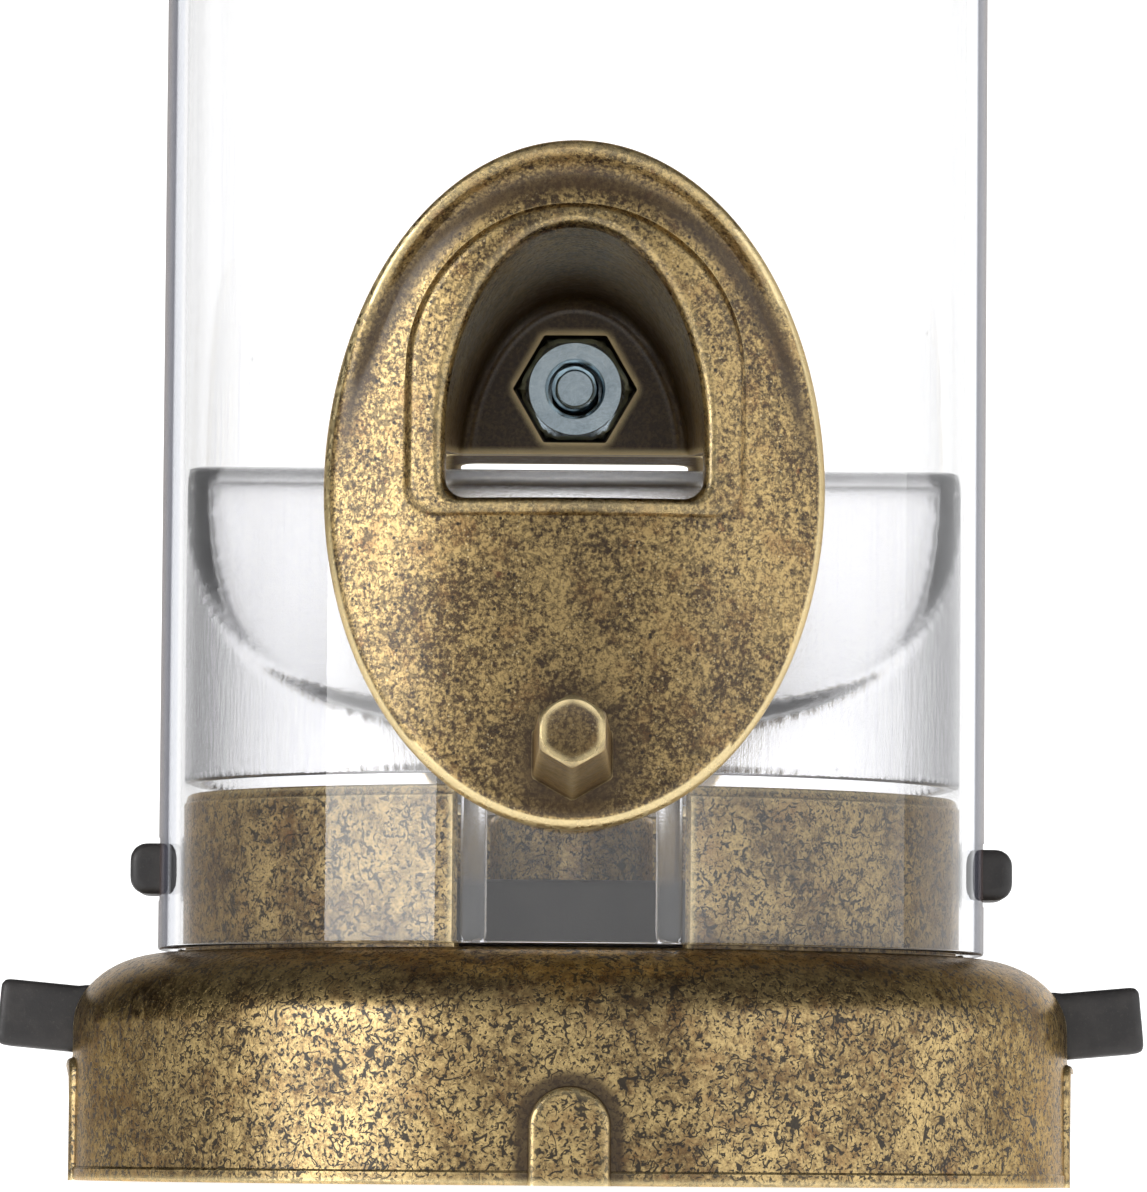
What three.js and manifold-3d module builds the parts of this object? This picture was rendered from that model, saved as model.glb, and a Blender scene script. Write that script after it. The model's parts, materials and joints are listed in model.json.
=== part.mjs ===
// A hanging tube feeder for bird seed: a clear plastic tube on a die-cast base that two squeeze latches release,
// two pairs of die-cast feeding ports with hexagonal perches, and a die-cast lid that slides up the wire bail.
// Millimetres, +Z up, origin on the axis of the tube at the plane of the base's rim. The lower ports face -Y and +Y.
import * as THREE from "three";
import { mergeVertices } from "three/addons/utils/BufferGeometryUtils.js";
import Module from "manifold-3d";

const wasm = await Module();
wasm.setup();

// ---------------------------------------------------------------- driving dimensions
const GAP = 0.3; // between two pieces that touch
const ROUND = 60; // facets of the large turned shapes
const WELD = 1e-4; // vertices closer than this are one vertex

const TUBE = { outer: 38.1, inner: 36.1, bottom: 21.2, length: 381 };
const TUBE_TOP = TUBE.bottom + TUBE.length;

const BASE = { rimRadius: 45.95, wall: 2.2, sideTop: 14.2, deckTop: 20.9, deck: 2, deckEdge: 36.9 };
const SPIGOT = { outer: 35.75, wall: 2.2, top: 35.3, gapInside: 9.9, gapOutside: 11.25, latchGapHalf: 5.5 };
const BOSS = { radius: 7.5, bottom: 2, top: 34, bore: 4.75, boreTop: 30 };
const PAD = { halfWidth: 3.46, top: 8.5, face: 47.1 };
const SIDE_PAD = { halfWidth: 8.5, top: 11.1, face: 46.4 };
const DRAIN = { radius: 1.6, circle: 19, count: 6 };

const DEFLECTOR = { outer: 35.75, wall: 2, bottom: 36.3, ridgeTop: 65.9, sheet: 2.4 };
const KEY_LEG = { inner: 7.3, outer: 9.6, bottom: 21.3 };

const LATCH = { halfWidth: 4.7, hookReach: 40.6, hookBottom: 26.3, hookTop: 31, tabReach: 52.5 };
const LATCH_TAB = { bottom: 12, top: 18.1, lift: THREE.MathUtils.degToRad(5.2) };
const LATCH_BAR = { inner: 26.5, outer: 30, bottom: 21.3, top: 27.6 };
const LATCH_RAIL = { inner: 10.8, outer: 13.6, reach: 14 };
const SPRING = { radius: 2.7, wire: 0.45, turns: 6, steps: 10, z: 24.45 };

const PORT = { inner: TUBE.outer + GAP, face: 41.5, width: 44.4, bottom: 31, top: 91.6 };
const PORT_FACETS = { oval: 30, round: 96 }; // half the facets of the oval, facets round the tube
const PORT_LIP = { face: 42.9, drop: 0.85, bottom: 70 };
const PORT_FRAME = { face: 42.1, halfWidth: 14.8, bottom: 58.7, spring: 71.5, top: 86, corner: 2.4 };
const MOUTH = { front: -43, halfWidth: 11.5, bottom: 60.2, spring: 65.5, top: 84.2, corner: 1.9 };
const HOOD = { wall: 1.6, back: 0.15, backWall: 5.15, shrink: 0.922, roofDrop: 2.8, edgeFront: 64.7, edgeBack: 67.4 };
const PERCH = { z: 37.6, seat: 40.4, tip: 82.5, rootCorner: 3.93, tipCorner: 3.12, chamfer: 0.6 };
const PERCH_STUB = { radius: 1.9, end: 38.9 };
const BOLT = { z: 73.1, radius: 2.4, hole: 2.75, head: 9.4, pocket: 9.95, pocketDepth: 3.4, thick: 3.1 };
const UPPER_PORT_RISE = 180;

const BAIL = { wire: 1.4, sides: 8, x: 40.2, z: 388, end: 32.5, hookTop: 397, bend: 3, hole: 2.6 };
Object.assign(BAIL, { shoulder: 472, shoulderBend: 22, hump: 6, humpTop: 512 });
const LID = { outer: 46.4, wall: 2, bottom: 384, roof: 2, flatInner: 36, flatOuter: 42.8, dome: 13, wireClearance: 0.5 };
const LID_ROOF = TUBE_TOP + GAP;

// ---------------------------------------------------------------- materials
const metal = (color, roughness) => new THREE.MeshStandardMaterial({ color, roughness, metalness: 1 });
const plastic = (color, roughness) => new THREE.MeshStandardMaterial({ color, roughness, metalness: 0 });
const BRASS = metal(0x8d7a55, 0.45);
const ZINC = metal(0xa9b3b8, 0.35);
const STEEL = metal(0xb9bcbf, 0.3);
const BLACK = plastic(0x2b2929, 0.45);
const CLEAR = new THREE.MeshStandardMaterial({ color: 0xf4f7fa, roughness: 0.05, transparent: true, opacity: 0.3 });
const FROSTED = new THREE.MeshStandardMaterial({ color: 0xeef0f2, roughness: 0.5, transparent: true, opacity: 0.6 });

// ---------------------------------------------------------------- from geometry to solid and back
function solid(geometry) {
  const bare = geometry.index ? geometry.toNonIndexed() : geometry.clone();
  bare.deleteAttribute("normal");
  bare.deleteAttribute("uv");
  const merged = mergeVertices(bare, WELD);
  const corners = merged.index.array;
  const kept = [];
  for (let i = 0; i < corners.length; i += 3) {
    const [a, b, c] = corners.slice(i, i + 3);
    if (a !== b && b !== c && c !== a) kept.push(a, b, c);
  }
  const make = (list) =>
    new wasm.Manifold(
      new wasm.Mesh({
        numProp: 3,
        vertProperties: merged.attributes.position.array,
        triVerts: new Uint32Array(list),
      }),
    );
  const made = make(kept);
  return made.volume() > 0 ? made : make(kept.reverse());
}

function piece(name, body, material) {
  const { vertProperties, triVerts } = body.getMesh();
  const geometry = new THREE.BufferGeometry();
  geometry.setAttribute("position", new THREE.BufferAttribute(vertProperties, 3));
  geometry.setIndex(new THREE.BufferAttribute(triVerts, 1));
  geometry.computeVertexNormals();
  const mesh = new THREE.Mesh(geometry, material);
  mesh.name = name;
  return mesh;
}

// ---------------------------------------------------------------- basic shapes
function box([x0, x1], [y0, y1], [z0, z1]) {
  const geometry = new THREE.BoxGeometry(x1 - x0, y1 - y0, z1 - z0);
  return solid(geometry.translate((x0 + x1) / 2, (y0 + y1) / 2, (z0 + z1) / 2));
}

// A profile of [radius, height] pairs, turned round the Z axis.
function turned(profile, segments = ROUND) {
  const points = profile.map(([r, z]) => new THREE.Vector2(r, z));
  return solid(new THREE.LatheGeometry(points, segments).rotateX(Math.PI / 2));
}

function ring(inner, outer, bottom, top, segments = ROUND) {
  const profile = [
    [inner, bottom],
    [outer, bottom],
    [outer, top],
    [inner, top],
    [inner, bottom],
  ];
  return turned(profile, segments);
}

// A shape drawn in x and z, extruded from y = back towards the front, y = front.
function frontal(shape, front, back, curveSegments = 12) {
  const settings = { depth: back - front, bevelEnabled: false, curveSegments };
  return new THREE.ExtrudeGeometry(shape, settings).rotateX(Math.PI / 2).translate(0, back, 0);
}

// A cylinder along Y, centred on x = 0, at height z.
function rodAlongY(radius, front, back, z, sides) {
  const geometry = new THREE.CylinderGeometry(radius, radius, back - front, sides);
  return solid(geometry.translate(0, (front + back) / 2, z));
}

// An elliptical arc of points [r, z] from angle a to angle b, in radians.
function arc([r0, z0], [halfR, halfZ], a, b, steps) {
  return Array.from({ length: steps + 1 }, (_, i) => {
    const angle = a + ((b - a) * i) / steps;
    return [r0 + halfR * Math.cos(angle), z0 + halfZ * Math.sin(angle)];
  });
}

// An arched opening: straight sides, a half-elliptical head and rounded lower corners.
function archShape(halfWidth, bottom, spring, top, corner) {
  const shape = new THREE.Shape();
  shape.moveTo(-halfWidth + corner, bottom);
  shape.lineTo(halfWidth - corner, bottom);
  if (corner > 0) shape.quadraticCurveTo(halfWidth, bottom, halfWidth, bottom + corner);
  shape.lineTo(halfWidth, spring);
  shape.absellipse(0, spring, halfWidth, top - spring, 0, Math.PI, false);
  shape.lineTo(-halfWidth, bottom + corner);
  if (corner > 0) shape.quadraticCurveTo(-halfWidth, bottom, -halfWidth + corner, bottom);
  return shape;
}

// The sides and the roof of a hood, or of the hollow in it, close in evenly from the mouth towards the back.
function narrowed(geometry) {
  const place = geometry.getAttribute("position");
  const reach = -HOOD.back - HOOD.backWall - MOUTH.front;
  for (let i = 0; i < place.count; i++) {
    const share = (place.getY(i) - MOUTH.front) / reach;
    const aboveSpring = Math.max(place.getZ(i) - MOUTH.spring, 0);
    place.setX(i, place.getX(i) * (1 - (1 - HOOD.shrink) * share));
    place.setZ(i, place.getZ(i) - (HOOD.roofDrop * share * aboveSpring) / (MOUTH.top - MOUTH.spring));
  }
  return geometry;
}

// ---------------------------------------------------------------- tube
const portHole = (margin) =>
  archShape(
    MOUTH.halfWidth + HOOD.wall + margin,
    MOUTH.bottom - margin,
    MOUTH.spring,
    MOUTH.top + HOOD.wall + margin,
    MOUTH.corner,
  );

function makeTube() {
  let tube = ring(TUBE.inner, TUBE.outer, TUBE.bottom, TUBE_TOP);
  const hole = solid(frontal(portHole(0.4), -50, 50));
  const upperHole = hole.rotate([0, 0, 90]).translate([0, 0, UPPER_PORT_RISE]);
  const latchHole = box([-50, 50], [-4.6, 4.6], [LATCH.hookBottom - 0.6, LATCH.hookTop + 0.6]);
  const bailHole = rodAlongY(BAIL.hole, -50, 50, BAIL.z, 12).rotate([0, 0, 90]);
  for (const cut of [hole, upperHole, latchHole, bailHole]) tube = tube.subtract(cut);
  return piece("tube", tube, CLEAR);
}

// ---------------------------------------------------------------- base
function baseShell() {
  const inner = BASE.rimRadius - BASE.wall;
  const shoulder = [BASE.rimRadius - 0.2 - BASE.deckEdge, BASE.deckTop - BASE.sideTop];
  const innerShoulder = [inner - 0.2 - BASE.deckEdge, shoulder[1] - BASE.deck];
  const bottomOfDeck = BASE.deckTop - BASE.deck;
  return turned([
    [0, BOSS.boreTop],
    [BOSS.bore, BOSS.boreTop],
    [BOSS.bore, BOSS.bottom],
    [BOSS.radius, BOSS.bottom],
    [BOSS.radius, bottomOfDeck],
    ...arc([BASE.deckEdge, BASE.sideTop], innerShoulder, Math.PI / 2, 0, 4),
    [inner, 0],
    [BASE.rimRadius, 0],
    [BASE.rimRadius, BASE.sideTop - 4],
    ...arc([BASE.deckEdge, BASE.sideTop], shoulder, 0, Math.PI / 2, 6),
    [BOSS.radius, BASE.deckTop],
    [BOSS.radius, BOSS.top],
    [0, BOSS.top],
  ]);
}

// The front gap widens outwards, so that its two ends are bevelled.
function frontGap() {
  const inside = SPIGOT.outer - SPIGOT.wall;
  const half = [
    [SPIGOT.gapInside, 0],
    [SPIGOT.gapInside, -inside],
    [SPIGOT.gapOutside, -SPIGOT.outer],
    [SPIGOT.gapOutside, -50],
  ];
  const otherHalf = [...half].reverse().map(([x, y]) => [-x, y]);
  const shape = new THREE.Shape([...half, ...otherHalf].map(([x, y]) => new THREE.Vector2(x, y)));
  const gap = new THREE.ExtrudeGeometry(shape, { depth: 30, bevelEnabled: false });
  return solid(gap.translate(0, 0, BASE.deckTop));
}

// The spigot is a wall that the tube slides over, open at the front for the key legs and where the latches pass.
function spigot() {
  const wall = ring(SPIGOT.outer - SPIGOT.wall, SPIGOT.outer, BASE.deckTop - 1, SPIGOT.top);
  const sides = box([-50, 50], [-SPIGOT.latchGapHalf, SPIGOT.latchGapHalf], [BASE.deckTop, 50]);
  return wall.subtract(frontGap()).subtract(sides);
}

// Pads that stand proud of the side: an arched one at the front and the back, a wide low one under each tab.
function pads() {
  const outline = archShape(PAD.halfWidth, 0, PAD.top - PAD.halfWidth, PAD.top, 0);
  const through = solid(frontal(outline, -60, 60, 8));
  const arched = through.intersect(ring(BASE.rimRadius - 1, PAD.face, 0, PAD.top));
  const across = box([-60, 60], [-SIDE_PAD.halfWidth, SIDE_PAD.halfWidth], [0, SIDE_PAD.top]);
  const low = across.intersect(ring(BASE.rimRadius - 1, SIDE_PAD.face, 0, SIDE_PAD.top));
  return arched.add(low);
}

function makeBase() {
  let base = baseShell().add(spigot()).add(pads());
  const armSlot = [24.2, 34.8];
  for (const side of [0, 180]) {
    const deckSlot = box(armSlot, [-5.4, 5.4], [10, BASE.deckTop + 1]);
    const tabSlot = box([36, 50], [-5.2, 5.2], [11.3, 19.2]);
    base = base.subtract(deckSlot.rotate([0, 0, side])).subtract(tabSlot.rotate([0, 0, side]));
  }
  for (let i = 0; i < DRAIN.count; i++) {
    const turn = ((i + 0.5) * 360) / DRAIN.count + 60;
    const drain = new THREE.CylinderGeometry(DRAIN.radius, DRAIN.radius, 10, 10).rotateX(Math.PI / 2);
    const hole = solid(drain.translate(DRAIN.circle, 0, BASE.deckTop));
    base = base.subtract(hole.rotate([0, 0, turn]));
  }
  return piece("base_casting", base, BRASS);
}

// ---------------------------------------------------------------- seed deflector
// Height of the sheet at a distance t from the middle: a rounded ridge that falls away to a nearly flat edge.
function sheetHeight(t) {
  const slope = 37 + 45.4 * Math.exp(-Math.abs(t) / 15.2);
  const softness = 2.5;
  const ridge = Math.exp(-DEFLECTOR.ridgeTop / softness) + Math.exp(-slope / softness);
  return -softness * Math.log(ridge);
}

function sheetShape(thickness) {
  const reach = DEFLECTOR.outer + 1;
  const stations = Array.from({ length: 37 }, (_, i) => -reach + (2 * reach * i) / 36);
  const upper = stations.map((t) => [t, sheetHeight(t)]);
  const lower = [...stations].reverse().map((t) => [t, sheetHeight(t) - thickness]);
  return new THREE.Shape([...upper, ...lower].map(([y, z]) => new THREE.Vector2(y, z)));
}

// Extrudes a shape drawn in y and z along the whole width in x.
function acrossX(shape) {
  const geometry = new THREE.ExtrudeGeometry(shape, { depth: 100, bevelEnabled: false });
  return solid(geometry.translate(0, 0, -50).rotateX(Math.PI / 2).rotateZ(Math.PI / 2));
}

function makeDeflector() {
  const sheet = acrossX(sheetShape(DEFLECTOR.sheet));
  const underSheet = acrossX(sheetShape(40));
  const core = ring(0, DEFLECTOR.outer, 0, 80).simplify();
  const skirt = ring(DEFLECTOR.outer - DEFLECTOR.wall, DEFLECTOR.outer, DEFLECTOR.bottom, 70);
  const legWall = ring(DEFLECTOR.outer - DEFLECTOR.wall, DEFLECTOR.outer, KEY_LEG.bottom, DEFLECTOR.bottom + 1);
  let deflector = sheet.intersect(core).add(skirt.intersect(underSheet));
  for (const side of [1, -1]) {
    const span = [side * KEY_LEG.inner, side * KEY_LEG.outer].sort((a, b) => a - b);
    deflector = deflector.add(legWall.intersect(box(span, [-50, 0], [0, 50])));
  }
  return piece("seed_deflector", deflector, FROSTED);
}

// ---------------------------------------------------------------- latches and their springs
// The latch on the +X side. Its rail passes behind the boss, so that the two latches interleave.
function latchBody() {
  const across = [-LATCH.halfWidth, LATCH.halfWidth];
  const armInner = LATCH_BAR.outer - 0.5;
  const armOuter = 34.2;
  const arm = box([armInner, armOuter], across, [LATCH_TAB.bottom, LATCH.hookTop]);
  const hook = box([armOuter - 1, LATCH.hookReach], [-4.1, 4.1], [LATCH.hookBottom, LATCH.hookTop]);
  const foot = box([armInner, 45], across, [LATCH_TAB.bottom, LATCH_TAB.top - 0.2]);
  const tabLength = LATCH.tabReach - 44;
  const tabHeight = LATCH_TAB.top - LATCH_TAB.bottom;
  const tab = solid(new THREE.BoxGeometry(tabLength, 2 * LATCH.halfWidth, tabHeight).rotateY(-LATCH_TAB.lift));
  const placedTab = tab.translate([44 + tabLength / 2, 0, LATCH_TAB.bottom + tabHeight / 2]);
  const heights = [LATCH_BAR.bottom, LATCH_BAR.top];
  const bar = box([LATCH_BAR.inner, LATCH_BAR.outer], [-LATCH_RAIL.outer, LATCH_RAIL.outer], heights);
  const rail = box([-LATCH_RAIL.reach, LATCH_BAR.inner + 1], [LATCH_RAIL.inner, LATCH_RAIL.outer], heights);
  const pin = solid(new THREE.CylinderGeometry(1.6, 1.6, 5, 10).rotateZ(Math.PI / 2));
  const spigotPin = pin.translate([LATCH_BAR.inner - 2, 0, SPRING.z]);
  return [hook, foot, placedTab, bar, rail, spigotPin].reduce((all, next) => all.add(next), arm);
}

// A compression spring from the boss to the latch's cross bar, along +X.
function springBody() {
  const start = BOSS.radius + GAP + SPRING.wire;
  const end = LATCH_BAR.inner - GAP - SPRING.wire;
  const points = Array.from({ length: SPRING.turns * SPRING.steps + 1 }, (_, i) => {
    const share = i / (SPRING.turns * SPRING.steps);
    const angle = share * SPRING.turns * 2 * Math.PI;
    const [y, z] = [SPRING.radius * Math.cos(angle), SPRING.radius * Math.sin(angle)];
    return new THREE.Vector3(start + share * (end - start), y, SPRING.z + z);
  });
  const path = new THREE.CatmullRomCurve3(points);
  const section = new THREE.Shape().absarc(0, 0, SPRING.wire, 0, 2 * Math.PI);
  const settings = { extrudePath: path, steps: SPRING.turns * SPRING.steps, curveSegments: 3 };
  return solid(new THREE.ExtrudeGeometry(section, settings));
}

function makeLatches() {
  const latch = latchBody();
  const spring = springBody();
  const right = [piece("latch_right", latch, BLACK), piece("latch_spring_right", spring, STEEL)];
  const left = [piece("latch_left", latch, BLACK), piece("latch_spring_left", spring, STEEL)];
  for (const mesh of left) mesh.rotation.z = Math.PI;
  return [...right, ...left];
}

// ---------------------------------------------------------------- feeding ports
const portMiddle = (PORT.top + PORT.bottom) / 2;
const portHalfHeight = (PORT.top - PORT.bottom) / 2;

const oval = (halfWidth, halfHeight, z) =>
  new THREE.Shape().absellipse(0, z, halfWidth, halfHeight, 0, 2 * Math.PI, false);

// The part of a frontal shape that lies between two radii round the tube's axis, on the -Y side.
function saddle(shape, inner, outer, curveSegments) {
  return solid(frontal(shape, -60, -10, curveSegments)).intersect(ring(inner, outer, 0, 100, PORT_FACETS.round));
}

function portFlange() {
  const half = PORT.width / 2;
  const outline = oval(half, portHalfHeight, portMiddle);
  const plate = saddle(outline, PORT.inner, PORT.face, PORT_FACETS.oval);
  const below = oval(half + 0.1, portHalfHeight - PORT_LIP.drop, portMiddle - PORT_LIP.drop);
  const inside = solid(frontal(below, -70, -5, PORT_FACETS.oval));
  const crescent = saddle(outline, PORT.inner, PORT_LIP.face, PORT_FACETS.oval).subtract(inside);
  const lowerHalf = box([-50, 50], [-70, 0], [0, PORT_LIP.bottom]);
  const frame = archShape(
    PORT_FRAME.halfWidth,
    PORT_FRAME.bottom,
    PORT_FRAME.spring,
    PORT_FRAME.top,
    PORT_FRAME.corner,
  );
  return plate.add(crescent.subtract(lowerHalf)).add(saddle(frame, PORT.inner, PORT_FRAME.face, 10));
}

// The hood reaches from the flange to the middle of the tube: a roof, two sides and a back wall, open below.
function portHood() {
  const outline = archShape(
    MOUTH.halfWidth + HOOD.wall,
    MOUTH.bottom,
    MOUTH.spring,
    MOUTH.top + HOOD.wall,
    0,
  );
  const hood = solid(narrowed(frontal(outline, -39.6, -HOOD.back, 10)));
  const slope = Math.atan2(HOOD.edgeBack - HOOD.edgeFront, TUBE.inner);
  const under = new THREE.BoxGeometry(60, 120, 40).translate(0, 0, -20).rotateX(slope);
  return hood.subtract(solid(under.translate(0, 0, HOOD.edgeBack)));
}

function portCavity() {
  const back = -HOOD.back - HOOD.backWall;
  const outline = archShape(MOUTH.halfWidth, MOUTH.bottom, MOUTH.spring, MOUTH.top, MOUTH.corner);
  return solid(narrowed(frontal(outline, MOUTH.front, back, 10)));
}

const hexCorner = (acrossFlats) => acrossFlats / Math.sqrt(3);

// A hexagonal prism along Y with flats above and below, from y = front to y = back.
function hexAlongY(acrossFlats, front, back, z) {
  const geometry = new THREE.CylinderGeometry(hexCorner(acrossFlats), hexCorner(acrossFlats), back - front, 6);
  return solid(geometry.rotateY(Math.PI / 6).translate(0, (front + back) / 2, z));
}

// The perch is a tapered hexagonal bar, a corner up, whose root sits in a socket of the flange with a stub behind it.
function perchBody() {
  const length = PERCH.tip - PERCH.seat;
  const profile = [
    [0, 0],
    [PERCH.rootCorner, 0],
    [PERCH.tipCorner, length - PERCH.chamfer],
    [PERCH.tipCorner - PERCH.chamfer, length],
    [0, length],
  ];
  const points = profile.map(([r, y]) => new THREE.Vector2(r, y));
  const bar = solid(new THREE.LatheGeometry(points, 6).rotateX(Math.PI).translate(0, -PERCH.seat, PERCH.z));
  return bar.add(rodAlongY(PERCH_STUB.radius, -PERCH.seat - 1, -PERCH_STUB.end, PERCH.z, 16));
}

// The socket for a perch's root and the hole for its stub.
function perchSeat() {
  const depth = 10;
  const corner = PERCH.rootCorner + hexCorner(2 * GAP);
  const prism = new THREE.CylinderGeometry(corner, corner, depth, 6);
  const socket = solid(prism.translate(0, -(PERCH.seat - GAP) - depth / 2, PERCH.z));
  return socket.add(rodAlongY(PERCH_STUB.radius + GAP, -PERCH.seat - 1, -30, PERCH.z, 16));
}

function portBody() {
  const recess = -HOOD.back - HOOD.backWall;
  const pocket = hexAlongY(BOLT.pocket, recess - 1, recess + BOLT.pocketDepth, BOLT.z);
  const hole = rodAlongY(BOLT.hole, recess - 5, 5, BOLT.z, 16);
  const cuts = [portCavity(), pocket, hole, perchSeat()];
  return cuts.reduce((rest, cut) => rest.subtract(cut), portFlange().add(portHood()));
}

// The screw that joins a pair of ports through their back walls: a hexagonal head, a shank and its nut.
function portFasteners(pair) {
  const recess = HOOD.back + HOOD.backWall;
  const seat = recess - BOLT.pocketDepth + GAP;
  const head = hexAlongY(BOLT.head, seat, seat + BOLT.thick, BOLT.z);
  const shank = rodAlongY(BOLT.radius, -recess - 0.4, seat + 1, BOLT.z, 16);
  const nut = hexAlongY(BOLT.head, -seat - BOLT.thick, -seat, BOLT.z);
  const thread = rodAlongY(BOLT.radius + GAP, -20, 0, BOLT.z, 16);
  return [
    piece("port_bolt_" + pair, head.add(shank), ZINC),
    piece("port_nut_" + pair, nut.subtract(thread), ZINC),
  ];
}

function makePorts() {
  const places = [
    ["lower_front", 0, 0],
    ["lower_rear", 180, 0],
    ["upper_right", 90, UPPER_PORT_RISE],
    ["upper_left", -90, UPPER_PORT_RISE],
  ];
  const [port, perch] = [portBody(), perchBody()];
  const castings = places.flatMap(([place, turn, rise]) => {
    const pair = [piece("port_" + place, port, BRASS), piece("perch_" + place, perch, BRASS)];
    for (const mesh of pair) {
      mesh.rotation.z = THREE.MathUtils.degToRad(turn);
      mesh.position.z = rise;
    }
    return pair;
  });
  const upper = portFasteners("upper");
  for (const mesh of upper) {
    mesh.rotation.z = Math.PI / 2;
    mesh.position.z = UPPER_PORT_RISE;
  }
  return [...castings, ...portFasteners("lower"), ...upper];
}

// ---------------------------------------------------------------- bail
// The corner points of the wire on the +X side, from the hooked end inside the tube up to the hanging hump.
function bailSide() {
  const { x, z, end, hookTop, shoulder, hump, humpTop } = BAIL;
  const neck = humpTop - 2 * hump;
  return [
    [end, hookTop],
    [end, z],
    [x, z],
    [x, shoulder],
    [hump, neck],
    [hump, humpTop],
  ];
}

// Straight stretches joined by curves of the given reach on either side of each corner.
function roundedPath(corners, reaches) {
  const path = new THREE.CurvePath();
  let from = corners[0];
  for (let i = 1; i < corners.length - 1; i++) {
    const before = corners[i].clone().lerp(corners[i - 1], reaches[i] / corners[i].distanceTo(corners[i - 1]));
    const after = corners[i].clone().lerp(corners[i + 1], reaches[i] / corners[i].distanceTo(corners[i + 1]));
    path.add(new THREE.LineCurve3(from, before));
    path.add(new THREE.QuadraticBezierCurve3(before, corners[i], after));
    from = after;
  }
  path.add(new THREE.LineCurve3(from, corners.at(-1)));
  return path;
}

function makeBail() {
  const right = bailSide().map(([x, z]) => new THREE.Vector3(x, 0, z));
  const left = right.map((p) => new THREE.Vector3(-p.x, 0, p.z)).reverse();
  const reach = [0, BAIL.bend, BAIL.bend, BAIL.shoulderBend, BAIL.hump, BAIL.hump * 0.98];
  const path = roundedPath([...right, ...left], [...reach, ...[...reach].reverse()]);
  const section = new THREE.Shape().absarc(0, 0, BAIL.wire, 0, 2 * Math.PI);
  const settings = { extrudePath: path, steps: 120, curveSegments: BAIL.sides / 2 };
  return piece("bail_wire", solid(new THREE.ExtrudeGeometry(section, settings)), STEEL);
}

// ---------------------------------------------------------------- lid
function lidShell() {
  const { outer, wall, bottom, roof, flatInner, flatOuter, dome } = LID;
  const top = LID_ROOF + roof;
  const shoulder = [outer - flatOuter, 7];
  const inner = outer - wall;
  const domeRise = arc([0, top], [flatInner, dome], 0, Math.PI / 2, 7);
  const domeUnder = arc([0, LID_ROOF], [flatInner - roof, dome], Math.PI / 2, 0, 6);
  return turned([
    [0, LID_ROOF + dome],
    ...domeUnder.slice(1),
    [flatOuter - 0.5, LID_ROOF],
    [inner, LID_ROOF - 5],
    [inner, bottom],
    [outer, bottom],
    [outer, top - shoulder[1]],
    ...arc([flatOuter, top - shoulder[1]], shoulder, 0, Math.PI / 2, 4).slice(1),
    ...domeRise.slice(0, -1),
    [0, top + dome],
  ]);
}

function makeLid() {
  const hole = ring(0, BAIL.wire + LID.wireClearance, LID_ROOF - 3, LID_ROOF + 5, 16);
  const lid = [-BAIL.x, BAIL.x].reduce((rest, x) => rest.subtract(hole.translate([x, 0, 0])), lidShell());
  return piece("lid", lid, BRASS);
}

// ---------------------------------------------------------------- assembly
const feeder = new THREE.Group();
feeder.name = "tube_feeder";
feeder.add(makeTube(), makeBase(), makeDeflector(), ...makeLatches(), ...makePorts(), makeBail(), makeLid());

export default feeder;
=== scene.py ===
"""The looks of a hanging tube feeder for bird seed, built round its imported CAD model.

Shapes are worked out in millimetres and stored in metres. The lower front port faces -Y, and +Z is up.
"""

import math
from math import cos, pi, radians, sin, sqrt

import bmesh
import bpy
import numpy as np
from mathutils import Matrix, Vector
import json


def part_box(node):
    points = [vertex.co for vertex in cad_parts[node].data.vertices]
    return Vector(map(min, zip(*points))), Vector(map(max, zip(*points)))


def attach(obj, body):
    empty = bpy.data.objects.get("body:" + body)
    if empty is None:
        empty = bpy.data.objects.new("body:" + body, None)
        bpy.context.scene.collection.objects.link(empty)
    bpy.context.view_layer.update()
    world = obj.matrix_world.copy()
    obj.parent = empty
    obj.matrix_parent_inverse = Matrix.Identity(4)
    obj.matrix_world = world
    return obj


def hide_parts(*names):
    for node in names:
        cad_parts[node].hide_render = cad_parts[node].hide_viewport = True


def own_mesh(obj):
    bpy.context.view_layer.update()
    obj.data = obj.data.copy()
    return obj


MM = 0.001
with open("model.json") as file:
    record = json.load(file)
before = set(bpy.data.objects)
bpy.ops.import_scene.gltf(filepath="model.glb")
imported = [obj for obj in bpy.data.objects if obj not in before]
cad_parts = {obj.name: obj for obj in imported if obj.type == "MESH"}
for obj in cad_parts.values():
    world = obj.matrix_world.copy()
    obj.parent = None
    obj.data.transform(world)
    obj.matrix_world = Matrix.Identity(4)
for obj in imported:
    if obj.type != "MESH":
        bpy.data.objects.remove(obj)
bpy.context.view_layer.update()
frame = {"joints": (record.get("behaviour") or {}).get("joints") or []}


def node_box(name):
    """The lowest and highest corners of a CAD node, in millimetres."""
    low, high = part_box(name)
    return low / MM, high / MM


# ---- sizes in millimetres, from the CAD where it gives them
TUBE_LOW, TUBE_HIGH = node_box("tube")
TUBE_R = TUBE_HIGH.x
TUBE_WALL = 2.0
TUBE_INNER = TUBE_R - TUBE_WALL
BASE_HIGH = node_box("base_casting")[1]
BASE_R = 45.95
BASE_WALL = 2.2
SIDE_PAD_FACE = BASE_HIGH.x
FRONT_PAD_FACE = BASE_HIGH.y
SPIGOT_TOP = BASE_HIGH.z
DECK_TOP = 20.9
SPIGOT_INNER, SPIGOT_R = 33.55, 35.75
ARCHED_PAD_HALF_WIDTH, ARCHED_PAD_SPRING, ARCHED_PAD_TOP = 3.46, 5.1, 8.5
DEFLECTOR_LOW, DEFLECTOR_HIGH = node_box("seed_deflector")
DEFLECTOR_R = DEFLECTOR_HIGH.x
KEY_LEG_INSIDE, KEY_LEG_OUTSIDE = 7.3, 9.6
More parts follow.
